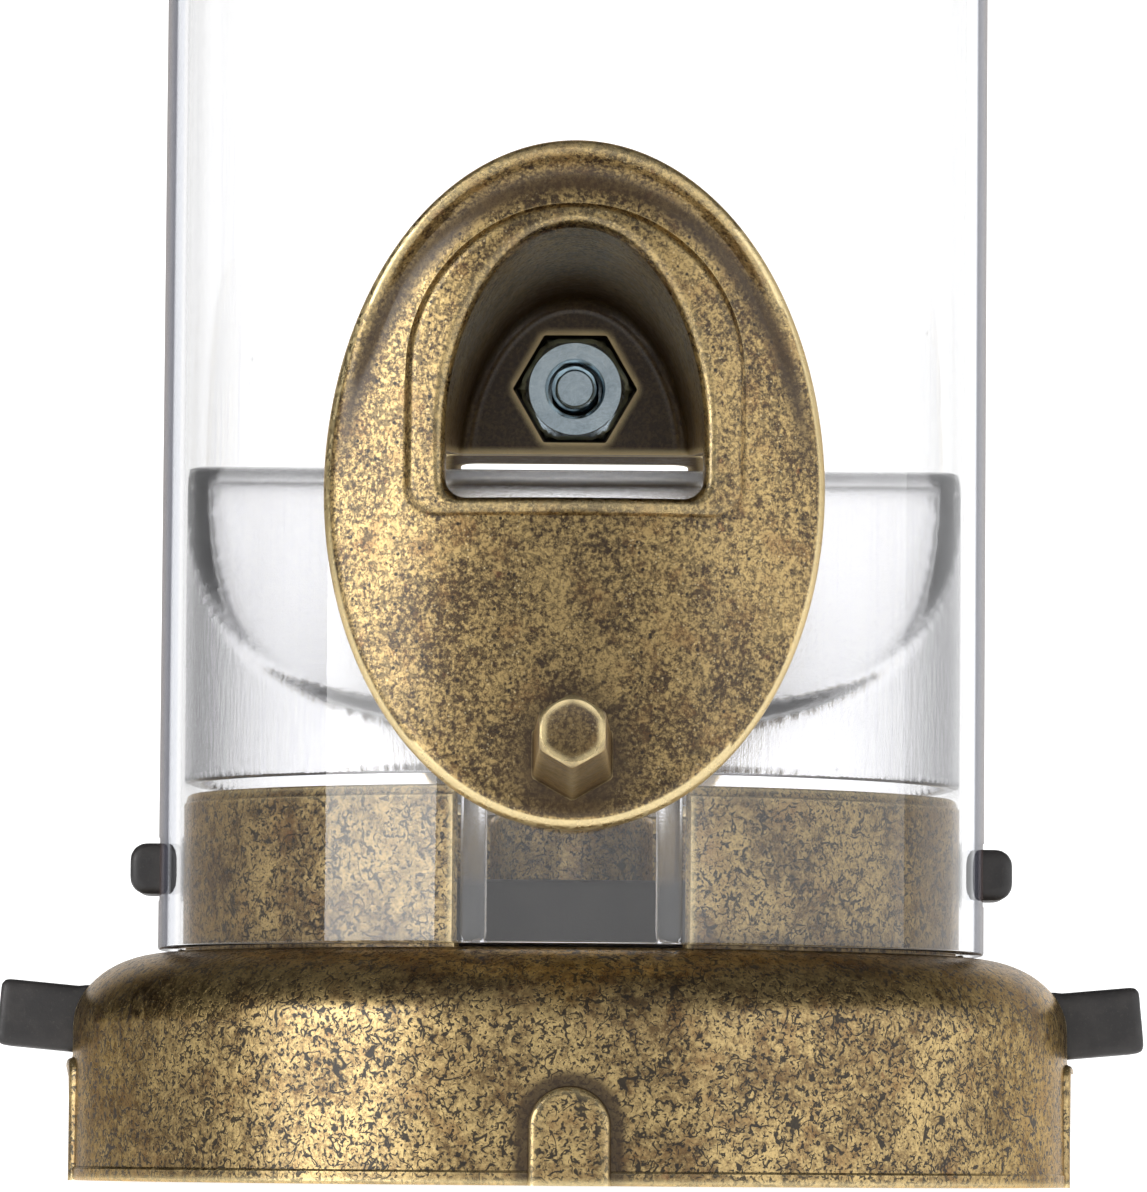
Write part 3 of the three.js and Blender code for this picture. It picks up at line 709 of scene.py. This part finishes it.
# ---- base
def make_base():
    """A hollow cup with a flat deck, a boss with a blind socket, a slotted spigot and two arched pads."""
    inner = BASE_R - BASE_WALL
    deck_edge = 36.9
    side_top = 14.2
    rise, reach = DECK_TOP - side_top, BASE_R - 0.1 - deck_edge
    shoulder = [(deck_edge + reach * cos(a), side_top + rise * sin(a)) for a in np.linspace(0, pi / 2, 17)]
    rise, reach = 4.7, inner - 0.1 - deck_edge
    hollow = [(deck_edge + reach * cos(a), side_top + rise * sin(a)) for a in np.linspace(pi / 2, 0, 13)]
    boss, boss_foot, boss_top = 7.5, 2.0, 34.0
    bore, bore_top = 4.75, 30.0
    rim = BASE_R + 0.14
    outside = [(inner, 0), (rim, 0), (rim, 1.1), (BASE_R, 1.3), (BASE_R - 0.1, side_top)]
    outside = rounded(outside, [0.4, 0.3, 0.1, 0.1, 0], 4, closed=False)
    crown = [shoulder[-1], (boss, DECK_TOP), (boss, boss_top), (0, boss_top)]
    top = rounded(crown, [0, 0.8, 0.8, 0], 5, closed=False)
    inside = [(0, bore_top), (bore, bore_top), (bore, boss_foot), (boss, boss_foot), (boss, DECK_TOP - 2)]
    under = rounded(inside + hollow[:1], [0, 0.5, 0.5, 0.5, 1.0, 0], 4, closed=False)
    base = turned("base", under + hollow[1:] + outside + shoulder[1:] + top[1:], 288)
    rooted = DECK_TOP - 1.4
    wall = [
        (SPIGOT_INNER, rooted), (SPIGOT_R, rooted), (SPIGOT_R, SPIGOT_TOP - 0.95),
        (SPIGOT_R - 0.2, SPIGOT_TOP - 0.8), (SPIGOT_R - 0.4, SPIGOT_TOP), (SPIGOT_INNER, SPIGOT_TOP),
    ]
    spigot = turned("spigot", rounded(wall, [0, 0, 0.1, 0.1, 0.3, 0.45], 4), 288)
    half = [(9.9, 0), (9.9, -SPIGOT_INNER), (11.25, -SPIGOT_R), (11.25, -50)]
    gap = [(-x, y) for x, y in half] + half[::-1]
    cut(
        spigot,
        slab("gap", gap, DECK_TOP, 60, along_z, 0.05),
        bar(ACROSS, (-5.5, 5.5), (DECK_TOP, 60), 0.3, 0.1),
    )
    arched = arch(ARCHED_PAD_HALF_WIDTH, -3.0, ARCHED_PAD_SPRING, ARCHED_PAD_TOP, 0.3)
    low = rectangle(-8.5, 8.5, -3.0, 11.1, 1.6, 8)
    pads = [turn(make_pad(arched, FRONT_PAD_FACE), side) for side in (0, 180)]
    pads += [turn(make_pad(low, SIDE_PAD_FACE), side) for side in (90, -90)]
    union(base, spigot, *pads)
    cutters = []
    for side in (0, 180):
        cutters.append(turn(bar((24.2, 34.8), (-5.4, 5.4), (10, DECK_TOP + 5), 1.0, 0.8), side))
        cutters.append(turn(bar((36, 50), (-5.2, 5.2), (11.3, 19.2), 0.8, 0.1), side))
    cutters += [turn(rod(1.6, along_z, (5, 30), (19.0, 0, 0), 32), 90 + 60 * i) for i in range(6)]
    return cut(base, *cutters)


def make_pad(outline, face):
    """A pad with rounded edges that wraps the front of the base's side, out to the radius of its face."""
    edge = min(0.3, (face - BASE_R) / 2)
    rings = [
        (0.2, BASE_R - 2.0), (0.2, BASE_R - 0.2), (0.02, face - edge), (-0.10, face - edge * 0.5),
        (-0.32, face - edge * 0.12), (-0.65, face),
    ]
    outline = dense(outline)
    loops = [[wrapped(x, z, radius) for x, z in offset(outline, grow)] for grow, radius in rings]
    return cut(loft("pad", loops), block((-20, 20), (-60, 0), (-20, 0)))


def dense(outline, step=0.5):
    """An outline with extra points along its longer sides, so that it can wrap a cylinder smoothly."""
    points = []
    for i, here in enumerate(outline):
        there = outline[(i + 1) % len(outline)]
        count = max(int(math.dist(here, there) / step), 1)
        points += [tuple(Vector(here).lerp(Vector(there), t / count)) for t in range(count)]
    return points


def wrapped(x, z, radius):
    """The point at x and z on a cylinder round the tube's axis, on the front side."""
    return (x, -sqrt(max(radius * radius - x * x, 0.0)), z)


# ---- ports
LOOP = 320
LOOP_CENTRE = (0.0, 70.0)


def spokes(outline):
    """How far an outline is from the port's centre along each of LOOP directions."""
    points = []
    count = len(outline)
    for i in range(count):
        a, b = np.array(outline[i]), np.array(outline[(i + 1) % count])
        points += [a + (b - a) * t for t in np.linspace(0, 1, 12, endpoint=False)]
    away = np.array(points) - np.array(LOOP_CENTRE)
    angle = np.unwrap(np.arctan2(away[:, 1], away[:, 0])) % (2 * pi)
    order = np.argsort(angle)
    turns = angle[order]
    reach = np.hypot(away[:, 0], away[:, 1])[order]
    wanted = np.arange(LOOP) * 2 * pi / LOOP
    return np.interp(wanted, turns, reach, period=2 * pi)


def oval(inset):
    half_w, half_h = PORT_HALF_W - inset, PORT_HALF_H - inset
    angles = np.linspace(0, 2 * pi, 240, endpoint=False)
    return [(half_w * cos(a), PORT_MIDDLE + half_h * sin(a)) for a in angles]


def make_port_plate():
    """The oval plate that wraps the tube, with its raised lip along the top and the frame round the mouth."""
    angles = np.arange(LOOP) * 2 * pi / LOOP
    outer = spokes(oval(0))
    frame_reach = spokes(arch(**FRAME))
    mouth_reach = spokes(arch(**MOUTH))
    heights = LOOP_CENTRE[1] + outer * np.sin(angles)
    lip_starts, lip_is_full = 66.0, 86.0
    rise = np.clip((heights - lip_starts) / (lip_is_full - lip_starts), 0, 1)
    lip = rise * rise * (3 - 2 * rise)
    face = PORT_FACE
    # inset from the rim, radius where there is no lip, radius where the lip is full
    rim = [
        (0.30, PORT_BACK, PORT_BACK), (0.05, PORT_BACK + 0.4, PORT_BACK + 0.4),
        (0.0, face - 1.0, PORT_LIP - 0.9), (0.06, face - 0.65, PORT_LIP - 0.5),
        (0.22, face - 0.36, PORT_LIP - 0.2), (0.48, face - 0.14, PORT_LIP - 0.04),
        (0.80, face - 0.02, PORT_LIP), (1.15, face + 0.03, PORT_LIP - 0.12),
        (1.5, face + 0.04, PORT_LIP - 0.42), (1.9, face + 0.03, face + 0.42), (2.4, face, face - 0.02),
        (3.1, face, face - 0.2), (4.0, face, face - 0.1), (5.2, face, face),
    ]
    loops = []

    def add(reach, radius):
        points = []
        radius = np.broadcast_to(radius, LOOP)
        for i in range(LOOP):
            x = LOOP_CENTRE[0] + reach[i] * cos(angles[i])
            z = LOOP_CENTRE[1] + reach[i] * sin(angles[i])
            points.append(wrapped(x, z, radius[i]))
        loops.append(points)

    room = np.clip((outer - frame_reach - 0.6) / 5.2, 0.2, 1.0)
    for inset, flat, full in rim:
        add(outer - inset * room, flat + (full - flat) * lip)
    last = outer - rim[-1][0] * room
    foot = frame_reach + 0.15
    for share in np.linspace(0, 1, 19)[1:-1]:
        add(last + (foot - last) * share, face)
    width = frame_reach - mouth_reach
    frame_steps = [
        (0.15, face - 0.03), (-0.05, face + 0.12), (-0.22, face + 0.36), (-0.5, face + 0.52),
        (-0.85, face + 0.56),
    ]
    for grow, radius in frame_steps:
        add(frame_reach + grow * np.clip(width / 2.2, 0.5, 1), radius)
    mouth_steps = [
        (1.35, face + 0.56), (1.05, face + 0.60), (0.75, face + 0.56), (0.45, face + 0.38),
        (0.2, face + 0.08), (0.05, face - 0.3), (-0.35, face - 1.0), (-3.0, face - 1.0),
    ]
    for grow, radius in mouth_steps:
        add(mouth_reach + grow * np.clip(width / 2.6, 0.45, 1), radius)
    loops.append([wrapped(p[0], p[2], PORT_BACK) for p in loops[-1]])
    for share in (0.35, 0.7, 0.9):
        add((mouth_reach - 3.0) * (1 - share) + (outer - 0.3) * share, PORT_BACK)
    return loft("port", loops, ring=True)


def hood_section(inset, depth, outward=0.0):
    """The mouth's outline at a distance from the tube's axis, closing in towards the middle of the tube."""
    share = (MOUTH_FRONT - depth) / (MOUTH_FRONT - HOOD_RECESS)
    outline = arch(**MOUTH)
    if outward or inset:
        outline = offset(outline, outward - inset)
    points = []
    for x, z in outline:
        above = max(z - MOUTH["spring"], 0.0)
        fall = HOOD_DROP * share * above / (MOUTH["top"] - MOUTH["spring"])
        points.append((x * (1 - (1 - HOOD_SHRINK) * share), -depth, z - fall))
    return points


def make_hood():
    """The hood that reaches to the middle of the tube, with its lower edge cut on a slant."""
    depths = [(0.0, 38.9), (0.0, 20.0), (0.0, 1.2), (0.12, 0.7), (0.35, 0.35), (0.8, HOOD_BACK)]
    hood = loft("hood", [hood_section(inset, depth, HOOD_WALL) for inset, depth in depths])
    slope = math.atan2(HOOD_FOOT_INSIDE - HOOD_FOOT_AT_WALL, TUBE_INNER)
    under = block((-30, 30), (-60, 60), (-40, 0))
    under.data.transform(Matrix.Translation((0, 0, HOOD_FOOT_INSIDE * MM)) @ Matrix.Rotation(slope, 4, "X"))
    return cut(hood, under)


def make_hollow():
    depths = [
        (0.0, MOUTH_FRONT), (0.0, 30.0), (0.0, 16.0), (0.0, HOOD_RECESS + 1.6), (0.12, HOOD_RECESS + 1.0),
        (0.42, HOOD_RECESS + 0.5), (0.9, HOOD_RECESS + 0.15), (1.6, HOOD_RECESS),
    ]
    return loft("hollow", [hood_section(inset, depth) for inset, depth in depths])


def hexagon(across_flats):
    """A hexagonal outline round the origin, with a flat on top."""
    return rounded(circle(across_flats / sqrt(3), 6), 0.25, 3)


def make_port():
    """A whole port: its plate and hood, hollowed, with the pocket and hole for the screw and nut."""
    plate = union(make_port_plate(), make_hood())
    outline = [(x, z + BOLT_Z) for x, z in hexagon(NUT_FLATS + 0.55)]
    pocket = slab("pocket", outline, -HOOD_RECESS - 1.5, -HOOD_RECESS + 3.4, along_y, 0.2)
    hole = rod(2.75, along_y, (-12, 5), (0, 0, BOLT_Z))
    return cut(plate, make_hollow(), pocket, hole)


def port_patina_and_painted_light(point):
    """Painted shade inside the hood and under the lip, darker round the perch's foot and over the lower half,
    and a painted highlight along the rim.
    """
    from_axis = sqrt(point.x**2 + point.y**2)
    # painted shade, deeper inside the hood
    hollow = (37.0 - from_axis) / 27 if point.z > 58 else 0.0
    from_rim = sqrt((point.x / PORT_HALF_W) ** 2 + ((point.z - PORT_MIDDLE) / PORT_HALF_H) ** 2)
    height = (point.z - PORT_MIDDLE) / PORT_HALF_H
    # painted shade in the hollow under the lip
    painted_shade_under_lip = 1.3 - abs(from_rim - 0.93 + 0.05 * height) / 0.045 if height > 0 else 0.0
    foot = 1.8 - sqrt(point.x**2 + ((point.z - PERCH_Z + 1.0) * 0.85) ** 2) / 4.6
    below = 0.2 if height < 0 else 0.0
    # painted highlight along the rim below the lip
    if from_rim > 0.972 and height < 0.75:
        return -0.8
    return max(hollow, painted_shade_under_lip * min(height * 3, 1), foot * 0.9, below * min(-height * 2, 1))


def perch_patina_and_painted_shade(point):
    """Dark at the root and on the dished end; painted shade on the sides leaves the end's rim bright as a
    painted highlight.
    """
    root = max(1 - (-point.y - PORT_FACE) / 3, 0.0)
    from_axis = sqrt(point.x**2 + (point.z - PERCH_Z) ** 2)
    end = 0.7 if -point.y > -PERCH_LOW.y - 0.3 and from_axis < 2.4 else 0.0
    # painted shade on the sides of the bar
    side = 0.5 if from_axis > 2.65 else 0.0
    return max(root, end, side)


def make_perch():
    """A tapered hexagonal bar, a corner up, with a turned chamfer and a rough, slightly dished end."""
    sides = 96
    root, tip = PORT_FACE - 0.4, -PERCH_LOW.y
    root_flat, tip_flat = 6.84, 5.46
    end_radius = 2.58

    def reach(angle, across_flats):
        local = (angle % (pi / 3)) - pi / 6
        return min(across_flats / 2 / cos(local), across_flats / sqrt(3) * 0.985)

    def ring(depth, grow=0.0, limit=99.0):
        share = (depth - root) / (tip - root)
        across = root_flat + (tip_flat - root_flat) * share
        points = []
        for i in range(sides):
            angle = 2 * pi * (i + 0.5) / sides
            r = min(reach(angle, across) + grow, limit)
            points.append((r * sin(angle), -depth, PERCH_Z + r * cos(angle)))
        return points

    loops = [ring(PORT_BACK + 0.6), ring(root), ring(root + 0.35, 0.16)]
    loops += [ring(root + 0.6, 0.07), ring(root + 0.9)]
    loops += [ring(root + (tip - root) * t) for t in np.linspace(0.1, 0.95, 8)]
    for back, limit in ((0.75, 99), (0.45, 2.98), (0.3, 2.88), (0.15, 2.76), (0.05, 2.67), (0.0, end_radius)):
        loops.append(ring(tip - back, 0, limit))
    for radius, sunk in ((2.36, 0.02), (2.12, 0.12), (1.4, 0.17), (0.6, 0.2)):
        loops.append(ring(tip - sunk, 0, radius))
    return loft("perch", loops)


# ---- screws and nuts
THREAD_PITCH = 0.8


def threaded(name, radius, depth, limits, taper):
    """A screw thread along Y between two limits, thinner over the last stretch towards -Y."""
    sides, steps = 40, int(abs(limits[1] - limits[0]) / (THREAD_PITCH / 8))
    loops = []
    for i in range(steps + 1):
        y = limits[0] + (limits[1] - limits[0]) * i / steps
        shrink = max(taper - abs(y - limits[0]), 0) / taper
        loop = []
        for j in range(sides):
            angle = 2 * pi * j / sides
            wave = abs(((y / THREAD_PITCH - j / sides) % 1) * 2 - 1)
            r = radius - depth * wave * (1 - shrink) - shrink * 0.6
            loop.append((r * cos(angle), y, BOLT_Z + r * sin(angle)))
        loops.append(loop)
    return loft(name, loops)


def hex_head(name, across_flats, limits, chamfer_front=True, chamfer_back=True):
    """A hexagonal head or nut along Y whose corners are turned down to a chamfer."""
    sides = 96
    washer = across_flats / 2 * 0.92

    def loop(y, limit):
        points = []
        for i in range(sides):
            angle = 2 * pi * i / sides
            flat = across_flats / 2 / cos((angle % (pi / 3)) - pi / 6)
            r = min(flat, limit)
            points.append((r * cos(angle), y, BOLT_Z + r * sin(angle)))
        return points

    low, high = limits
    loops = []
    steps = [(0.0, washer - 0.08), (0.03, washer), (0.1, washer + 0.08), (0.45, washer + 0.62), (0.85, 99.0)]
    for depth, limit in steps if chamfer_front else [(0.0, 99.0)]:
        loops.append(loop(low + depth, limit))
    for depth, limit in reversed(steps) if chamfer_back else [(0.0, 99.0)]:
        loops.append(loop(high - depth, limit))
    return loft(name, loops)


def make_fasteners():
    """The nut that shows in the front port, and the screw whose head fills the rear port's pocket."""
    seat = HOOD_RECESS - 3.1
    nut = hex_head("nut", NUT_FLATS, (-HOOD_RECESS, -seat), chamfer_back=False)
    steps = ((2.95, -HOOD_RECESS - 0.2), (2.75, -HOOD_RECESS + 0.05), (2.45, -HOOD_RECESS + 0.4), (2.45, 0))
    cut(nut, loft("bore", [[along_y(u, BOLT_Z + v, y) for u, v in circle(r)] for r, y in steps]))
    bolt = hex_head("bolt", NUT_FLATS, (seat, HOOD_RECESS), chamfer_front=False)
    union(bolt, threaded("thread", 2.2, 0.28, (BOLT_LOW.y, seat + 1.0), 0.8))
    return bolt, nut


# ---- seed deflector
def sheet_height(t):
    """Height of the deflector's sheet at a distance from its middle."""
    slope = 37 + 45.4 * math.exp(-abs(t) / 15.2)
    softness = 2.5
    return -softness * math.log(math.exp(-DEFLECTOR_HIGH.z / softness) + math.exp(-slope / softness))


def make_deflector():
    """A rounded ridge whose slopes fall to a skirt, with two key legs that stand in the spigot's front gap."""
    wall = 1.9
    bottom = DEFLECTOR_LOW.z + 15
    top = [(t, sheet_height(t)) for t in np.linspace(38, -38, 115)]
    under = [(-38, 20), (38, 20)] + top
    below = loft("below", [[(x, y, z) for y, z in under] for x in ACROSS])
    outside = turned("outside", [(0, 20), (DEFLECTOR_R, 20), (DEFLECTOR_R, 80), (0, 80)], 256)
    rubbed_smooth(shared(outside, below), 0.5, 5)
    inside = copied(outside)
    inward = inside.modifiers.new("wall", "DISPLACE")
    inward.mid_level = 0
    inward.strength = -wall * MM
    evaluated(inside)
    shell = cut(outside, inside, block(ACROSS, ACROSS, (0, bottom)))
    for side in (-1, 1):
        span = sorted((side * KEY_LEG_INSIDE, side * KEY_LEG_OUTSIDE))
        section = rectangle(DEFLECTOR_R - 2.0, DEFLECTOR_R - 0.01, DEFLECTOR_LOW.z, bottom + 2, 0)
        leg = turned("leg", section, 256)
        union(shell, shared(leg, bar(span, (-50, 0), (DEFLECTOR_LOW.z - 0.01, 60), 0.4, 0.5)))
    return rubbed_smooth(shell, 0.42, 2)


# ---- latches, springs
def make_latch():
    """The right latch: finger tab, foot under the deck, arm through it, hook, and rail past the boss."""
    half = LATCH_HALF_WIDTH
    frame_heights = (21.3, 27.6)
    arm = bar((29.5, 34.2), (-half, half), (12.1, 31.0), 0.6, 0.4)
    hook_outline = rounded([(33.0, 26.3), (40.6, 26.3), (40.6, 31.0), (33.0, 31.0)], [0.2, 1.5, 1.5, 0.2], 6)
    hook = slab("hook", hook_outline, -4.1, 4.1, along_y, 0.7)
    foot = bar((29.6, 45), (-half, half), (12.1, 17.9), 0.5, 0.3)
    low, high, reach = 12.0, 18.1, LATCH_REACH - 0.25
    tab_outline = rounded([(43.8, low), (reach, low), (reach, high), (43.8, high)], [0.3, 0.7, 0.7, 0.3], 5)
    tab = slab("tab", tab_outline, -half, half, along_y, 0.65, 5)
    pivot = Vector((48.25, 0, (low + high) / 2)) * MM
    lift = Matrix.Rotation(radians(-5.2), 4, "Y")
    tab.data.transform(Matrix.Translation(pivot) @ lift @ Matrix.Translation(-pivot))
    cross = bar((26.5, 30.0), (-13.6, 13.6), frame_heights, 0.5, 0.3)
    rail = bar((-14.0, 27.5), (10.8, 13.6), frame_heights, 0.5, 0.4)
    pin = rod(1.6, along_x, (22.0, 27.0), (0, 0, SPRING_Z), 32)
    return rubbed_smooth(union(arm, hook, foot, tab, cross, rail, pin), 0.3, 2)


def make_spring():
    """A compression spring along X with its end coils closed."""
    radius, wire, turns, steps = 2.7, 0.45, 7, 36
    low, high = SPRING_LOW.x + wire, SPRING_HIGH.x - wire
    path = []
    for i in range(turns * steps + 1):
        share = i / (turns * steps)
        eased = share - 0.55 * sin(2 * pi * share) / (2 * pi)
        angle = 2 * pi * turns * share
        path.append((low + (high - low) * eased, radius * cos(angle), SPRING_Z + radius * sin(angle)))
    return sweep("spring", path, wire, 12)


# ---- bail
def make_bail():
    """The wire: hooked ends inside the tube, two straight legs, and a hump at the top for a hanging hook."""
    leg = BAIL_HIGH.x - WIRE_R
    hook, hook_top, hook_foot = 32.5, 397.0, BAIL_LOW.z + WIRE_R
    shoulder, top = 472.0, BAIL_HIGH.z - WIRE_R
    hump = 6.0
    side = [(hook, hook_top), (hook, hook_foot), (leg, hook_foot), (leg, shoulder)]
    side += [(hump, top - 2 * hump), (hump, top)]
    corners = side + [(-x, h) for x, h in reversed(side)]
    reach = [0, 3, 3, 22, hump, hump * 0.98]
    reach += list(reversed(reach))
    path = [corners[0]]
    for i in range(1, len(corners) - 1):
        here = Vector(corners[i])
        before = here + (Vector(corners[i - 1]) - here).normalized() * reach[i]
        after = here + (Vector(corners[i + 1]) - here).normalized() * reach[i]
        for t in np.linspace(0, 1, 15):
            path.append(tuple(before * (1 - t) ** 2 + here * 2 * t * (1 - t) + after * t * t))
    path.append(corners[-1])
    return sweep("bail", [(x, 0, h) for x, h in path], WIRE_R, 24)


# ---- lid
def make_lid():
    """A domed cap whose skirt hangs outside the tube, with two holes for the wire."""
    outer, wall = LID_HIGH.x, 2.0
    bottom, crown = LID_LOW.z, LID_HIGH.z
    roof_under = TUBE_HIGH.z + 0.3
    roof = roof_under + 2.0
    dome = crown - roof
    flat = 36.0
    rise = [(flat * cos(a), roof + dome * sin(a)) for a in np.linspace(0, pi / 2, 25)]
    rise[-1] = (0, crown)
    under = [((flat - 2) * cos(a), roof_under + dome * sin(a)) for a in np.linspace(pi / 2, 0, 17)]
    under[0] = (0, crown - 2)
    skirt = rounded(
        [
            under[-1],
            (outer - wall, roof_under),
            (outer - wall, bottom),
            (outer, bottom),
            (outer, bottom + 1.2),
            (outer - 0.25, bottom + 1.4),
            (outer - 0.2, roof),
            rise[0],
        ],
        [0, 2.0, 0.4, 0.35, 0.15, 0.15, 4.2, 0],
        6,
        closed=False,
    )
    lid = turned("lid", under[:-1] + skirt + rise[1:], 288)
    leg = BAIL_HIGH.x - WIRE_R
    holes = [rod(1.9, along_z, (roof - 8, roof + 8), (side * leg, 0, 0), 32) for side in (-1, 1)]
    return cut(lid, *holes)


# ---- the pieces
piece(make_tube(), "clear_tube", "tube", "feeder", CLEAR)
piece(make_base(), "base_cup", "base_casting", "feeder", BRASS_SMOOTH, 28)
piece(make_deflector(), "seed_slope", "seed_deflector", "feeder", FROSTED, 28)

port = patina_and_painted_light(make_port(), port_patina_and_painted_light)
perch = patina_and_painted_light(make_perch(), perch_patina_and_painted_shade)
bolt, nut = make_fasteners()
for place, degrees, rise in (
    ("lower_front", 0, 0),
    ("lower_rear", 180, 0),
    ("upper_right", 90, UPPER_RISE),
    ("upper_left", -90, UPPER_RISE),
):
    casting = turn(copied(port), degrees, rise)
    piece(casting, "feeding_port_" + place, "port_" + place, "feeder", BRASS_GRAINED, 34)
    stick = turn(copied(perch), degrees, rise)
    piece(stick, "perch_bar_" + place, "perch_" + place, "feeder", BRASS_GRAINED, 30)
for pair, degrees, rise in (("lower", 0, 0), ("upper", 90, UPPER_RISE)):
    screw = turn(copied(bolt), degrees, rise)
    piece(screw, "port_screw_" + pair, "port_bolt_" + pair, "feeder", ZINC, 18)
    hexnut = turn(copied(nut), degrees, rise)
    piece(hexnut, "port_hexnut_" + pair, "port_nut_" + pair, "feeder", ZINC, 18)
for spent in (port, perch, bolt, nut):
    bpy.data.objects.remove(spent)

latch = make_latch()
spring = make_spring()
for joint in frame["joints"]:
    if not joint["name"].endswith("squeeze"):
        continue
    body = joint["child"]
    side = 1 if body == "latch_right" else -1
    degrees = 0 if side == 1 else 180
    arm = turn(copied(latch), degrees)
    piece(arm, "squeeze_" + body, body, body, BLACK, 30)
    coil = turn(copied(spring), degrees)
    node = body.replace("latch", "latch_spring")
    piece(coil, node.replace("latch_", "coil_"), node, body, SPRING_STEEL)
    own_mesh(coil)
for spent in (latch, spring):
    bpy.data.objects.remove(spent)

piece(make_bail(), "hanging_wire", "bail_wire", "feeder", WIRE)
piece(make_lid(), "domed_lid", "lid", "lid", BRASS_SMOOTH, 28)


# ---- studio
def make_floor():
    size = 12.0
    mesh = bpy.data.meshes.new("floor")
    corners = [(-size, -size, 0), (size, -size, 0), (size, size, 0), (-size, size, 0)]
    mesh.from_pydata(corners, [], [(0, 1, 2, 3)])
    floor = in_scene("floor", mesh)
    s = Shader("pale_floor")
    tone = s.mix(s.ramp(s.noise(0.02, 3), 0.3, 0.7), (0.86, 0.86, 0.86, 1), (0.89, 0.89, 0.89, 1))
    s.set(Base_Color=tone, Roughness=0.9, Emission_Color=(1, 1, 1, 1), Emission_Strength=0.95)
    mesh.materials.append(s.material)
    floor.location.z = -0.0002


LAMP_AIM = Vector((0, 0, 0.06))


def softbox(name, place, width, height, power):
    lamp = bpy.data.lights.new(name, "AREA")
    lamp.shape = "RECTANGLE"
    lamp.size, lamp.size_y = width, height
    lamp.energy = power
    obj = in_scene(name, lamp)
    obj.location = place
    obj.rotation_euler = (LAMP_AIM - Vector(place)).to_track_quat("-Z", "Y").to_euler()
    obj.visible_camera = False
    obj.visible_transmission = False


# parts of the studio: an axis, the cosines to it where the light starts and is full, and its strength
BACKDROP = ((0, 1, 0), 0.80, 0.95, 0.9)
BACKDROP_RIGHT = ((0.67, 0.74, 0), 0.76, 0.95, 0.7)
ROOM_IN_FRONT = ((0, -1, 0.1), 0.2, 0.95, 0.34)
LEFT_FLAG = ((-0.906, 0.423, 0), 0.7, 0.92, -0.9)


def make_world():
    """Pale behind the feeder, dim in front and above, so that the metal has something to mirror."""
    world = bpy.data.worlds.new("studio")
    world.use_nodes = True
    w = Nodes(world.node_tree)
    direction = w.node("ShaderNodeTexCoord", {}).outputs["Generated"]

    def towards(axis):
        """The cosine between the looked at direction and an axis."""
        inputs = {0: direction, 1: Vector(axis).normalized()}
        return w.node("ShaderNodeVectorMath", inputs, operation="DOT_PRODUCT").outputs["Value"]

    def background(strength, colour):
        return w.node("ShaderNodeBackground", {"Strength": strength, "Color": colour}).outputs[0]

    # a dim room with brighter and darker parts
    total = w.ramp(towards((0, 0, 1)), -1.0, 1.0, 0.14, 0.12)
    for axis, start, full, strength in (BACKDROP, BACKDROP_RIGHT, ROOM_IN_FRONT, LEFT_FLAG):
        total = w.plus(total, w.ramp(towards(axis), start, full, 0.0, strength))
    studio = background(w.most(total, 0.04), (0.97, 0.985, 1.0, 1))

    # the white backdrop, which the clear plastic shows straight through it but not to its sides
    path = w.node("ShaderNodeLightPath", {})
    seen, seen_through = path.outputs["Is Camera Ray"], path.outputs["Is Transmission Ray"]
    white = w.ramp(w.maths("ABSOLUTE", towards((0, 1, 0))), 0.70, 0.88, 0.45, 1.8)
    white = background(w.most(white, w.times(seen, 1.25)), (0.8, 0.8, 0.8, 1))
    mixed = w.node("ShaderNodeMixShader", {0: w.most(seen, seen_through), 1: studio, 2: white})
    w.node("ShaderNodeOutputWorld", {"Surface": mixed.outputs[0]})
    bpy.context.scene.world = world


make_floor()
make_world()
softbox("left_box", (-0.806, -0.592, 0.10), 0.60, 0.8, 6.8)
softbox("right_box", (0.92, -0.39, 0.12), 1.5, 0.8, 4.4)

CAMERA_DISTANCE = 0.75
CAMERA_HEIGHT = 0.0032
CAMERA_PITCH = 3.9
CAMERA_ROLL = 0.45
CAMERA_LENS = 245
camera_data = bpy.data.cameras.new("camera")
camera_data.lens = CAMERA_LENS
camera_data.sensor_width = 36
camera_data.clip_end = 60
camera = in_scene("camera", camera_data)
camera.matrix_world = (
    Matrix.Translation((0.0, -CAMERA_DISTANCE, CAMERA_HEIGHT))
    @ Matrix.Rotation(radians(90 + CAMERA_PITCH), 4, "X")
    @ Matrix.Rotation(radians(CAMERA_ROLL), 4, "Z")
)
bpy.context.scene.camera = camera
bpy.context.scene.view_settings.view_transform = "Standard"
bpy.context.scene.view_settings.look = "None"
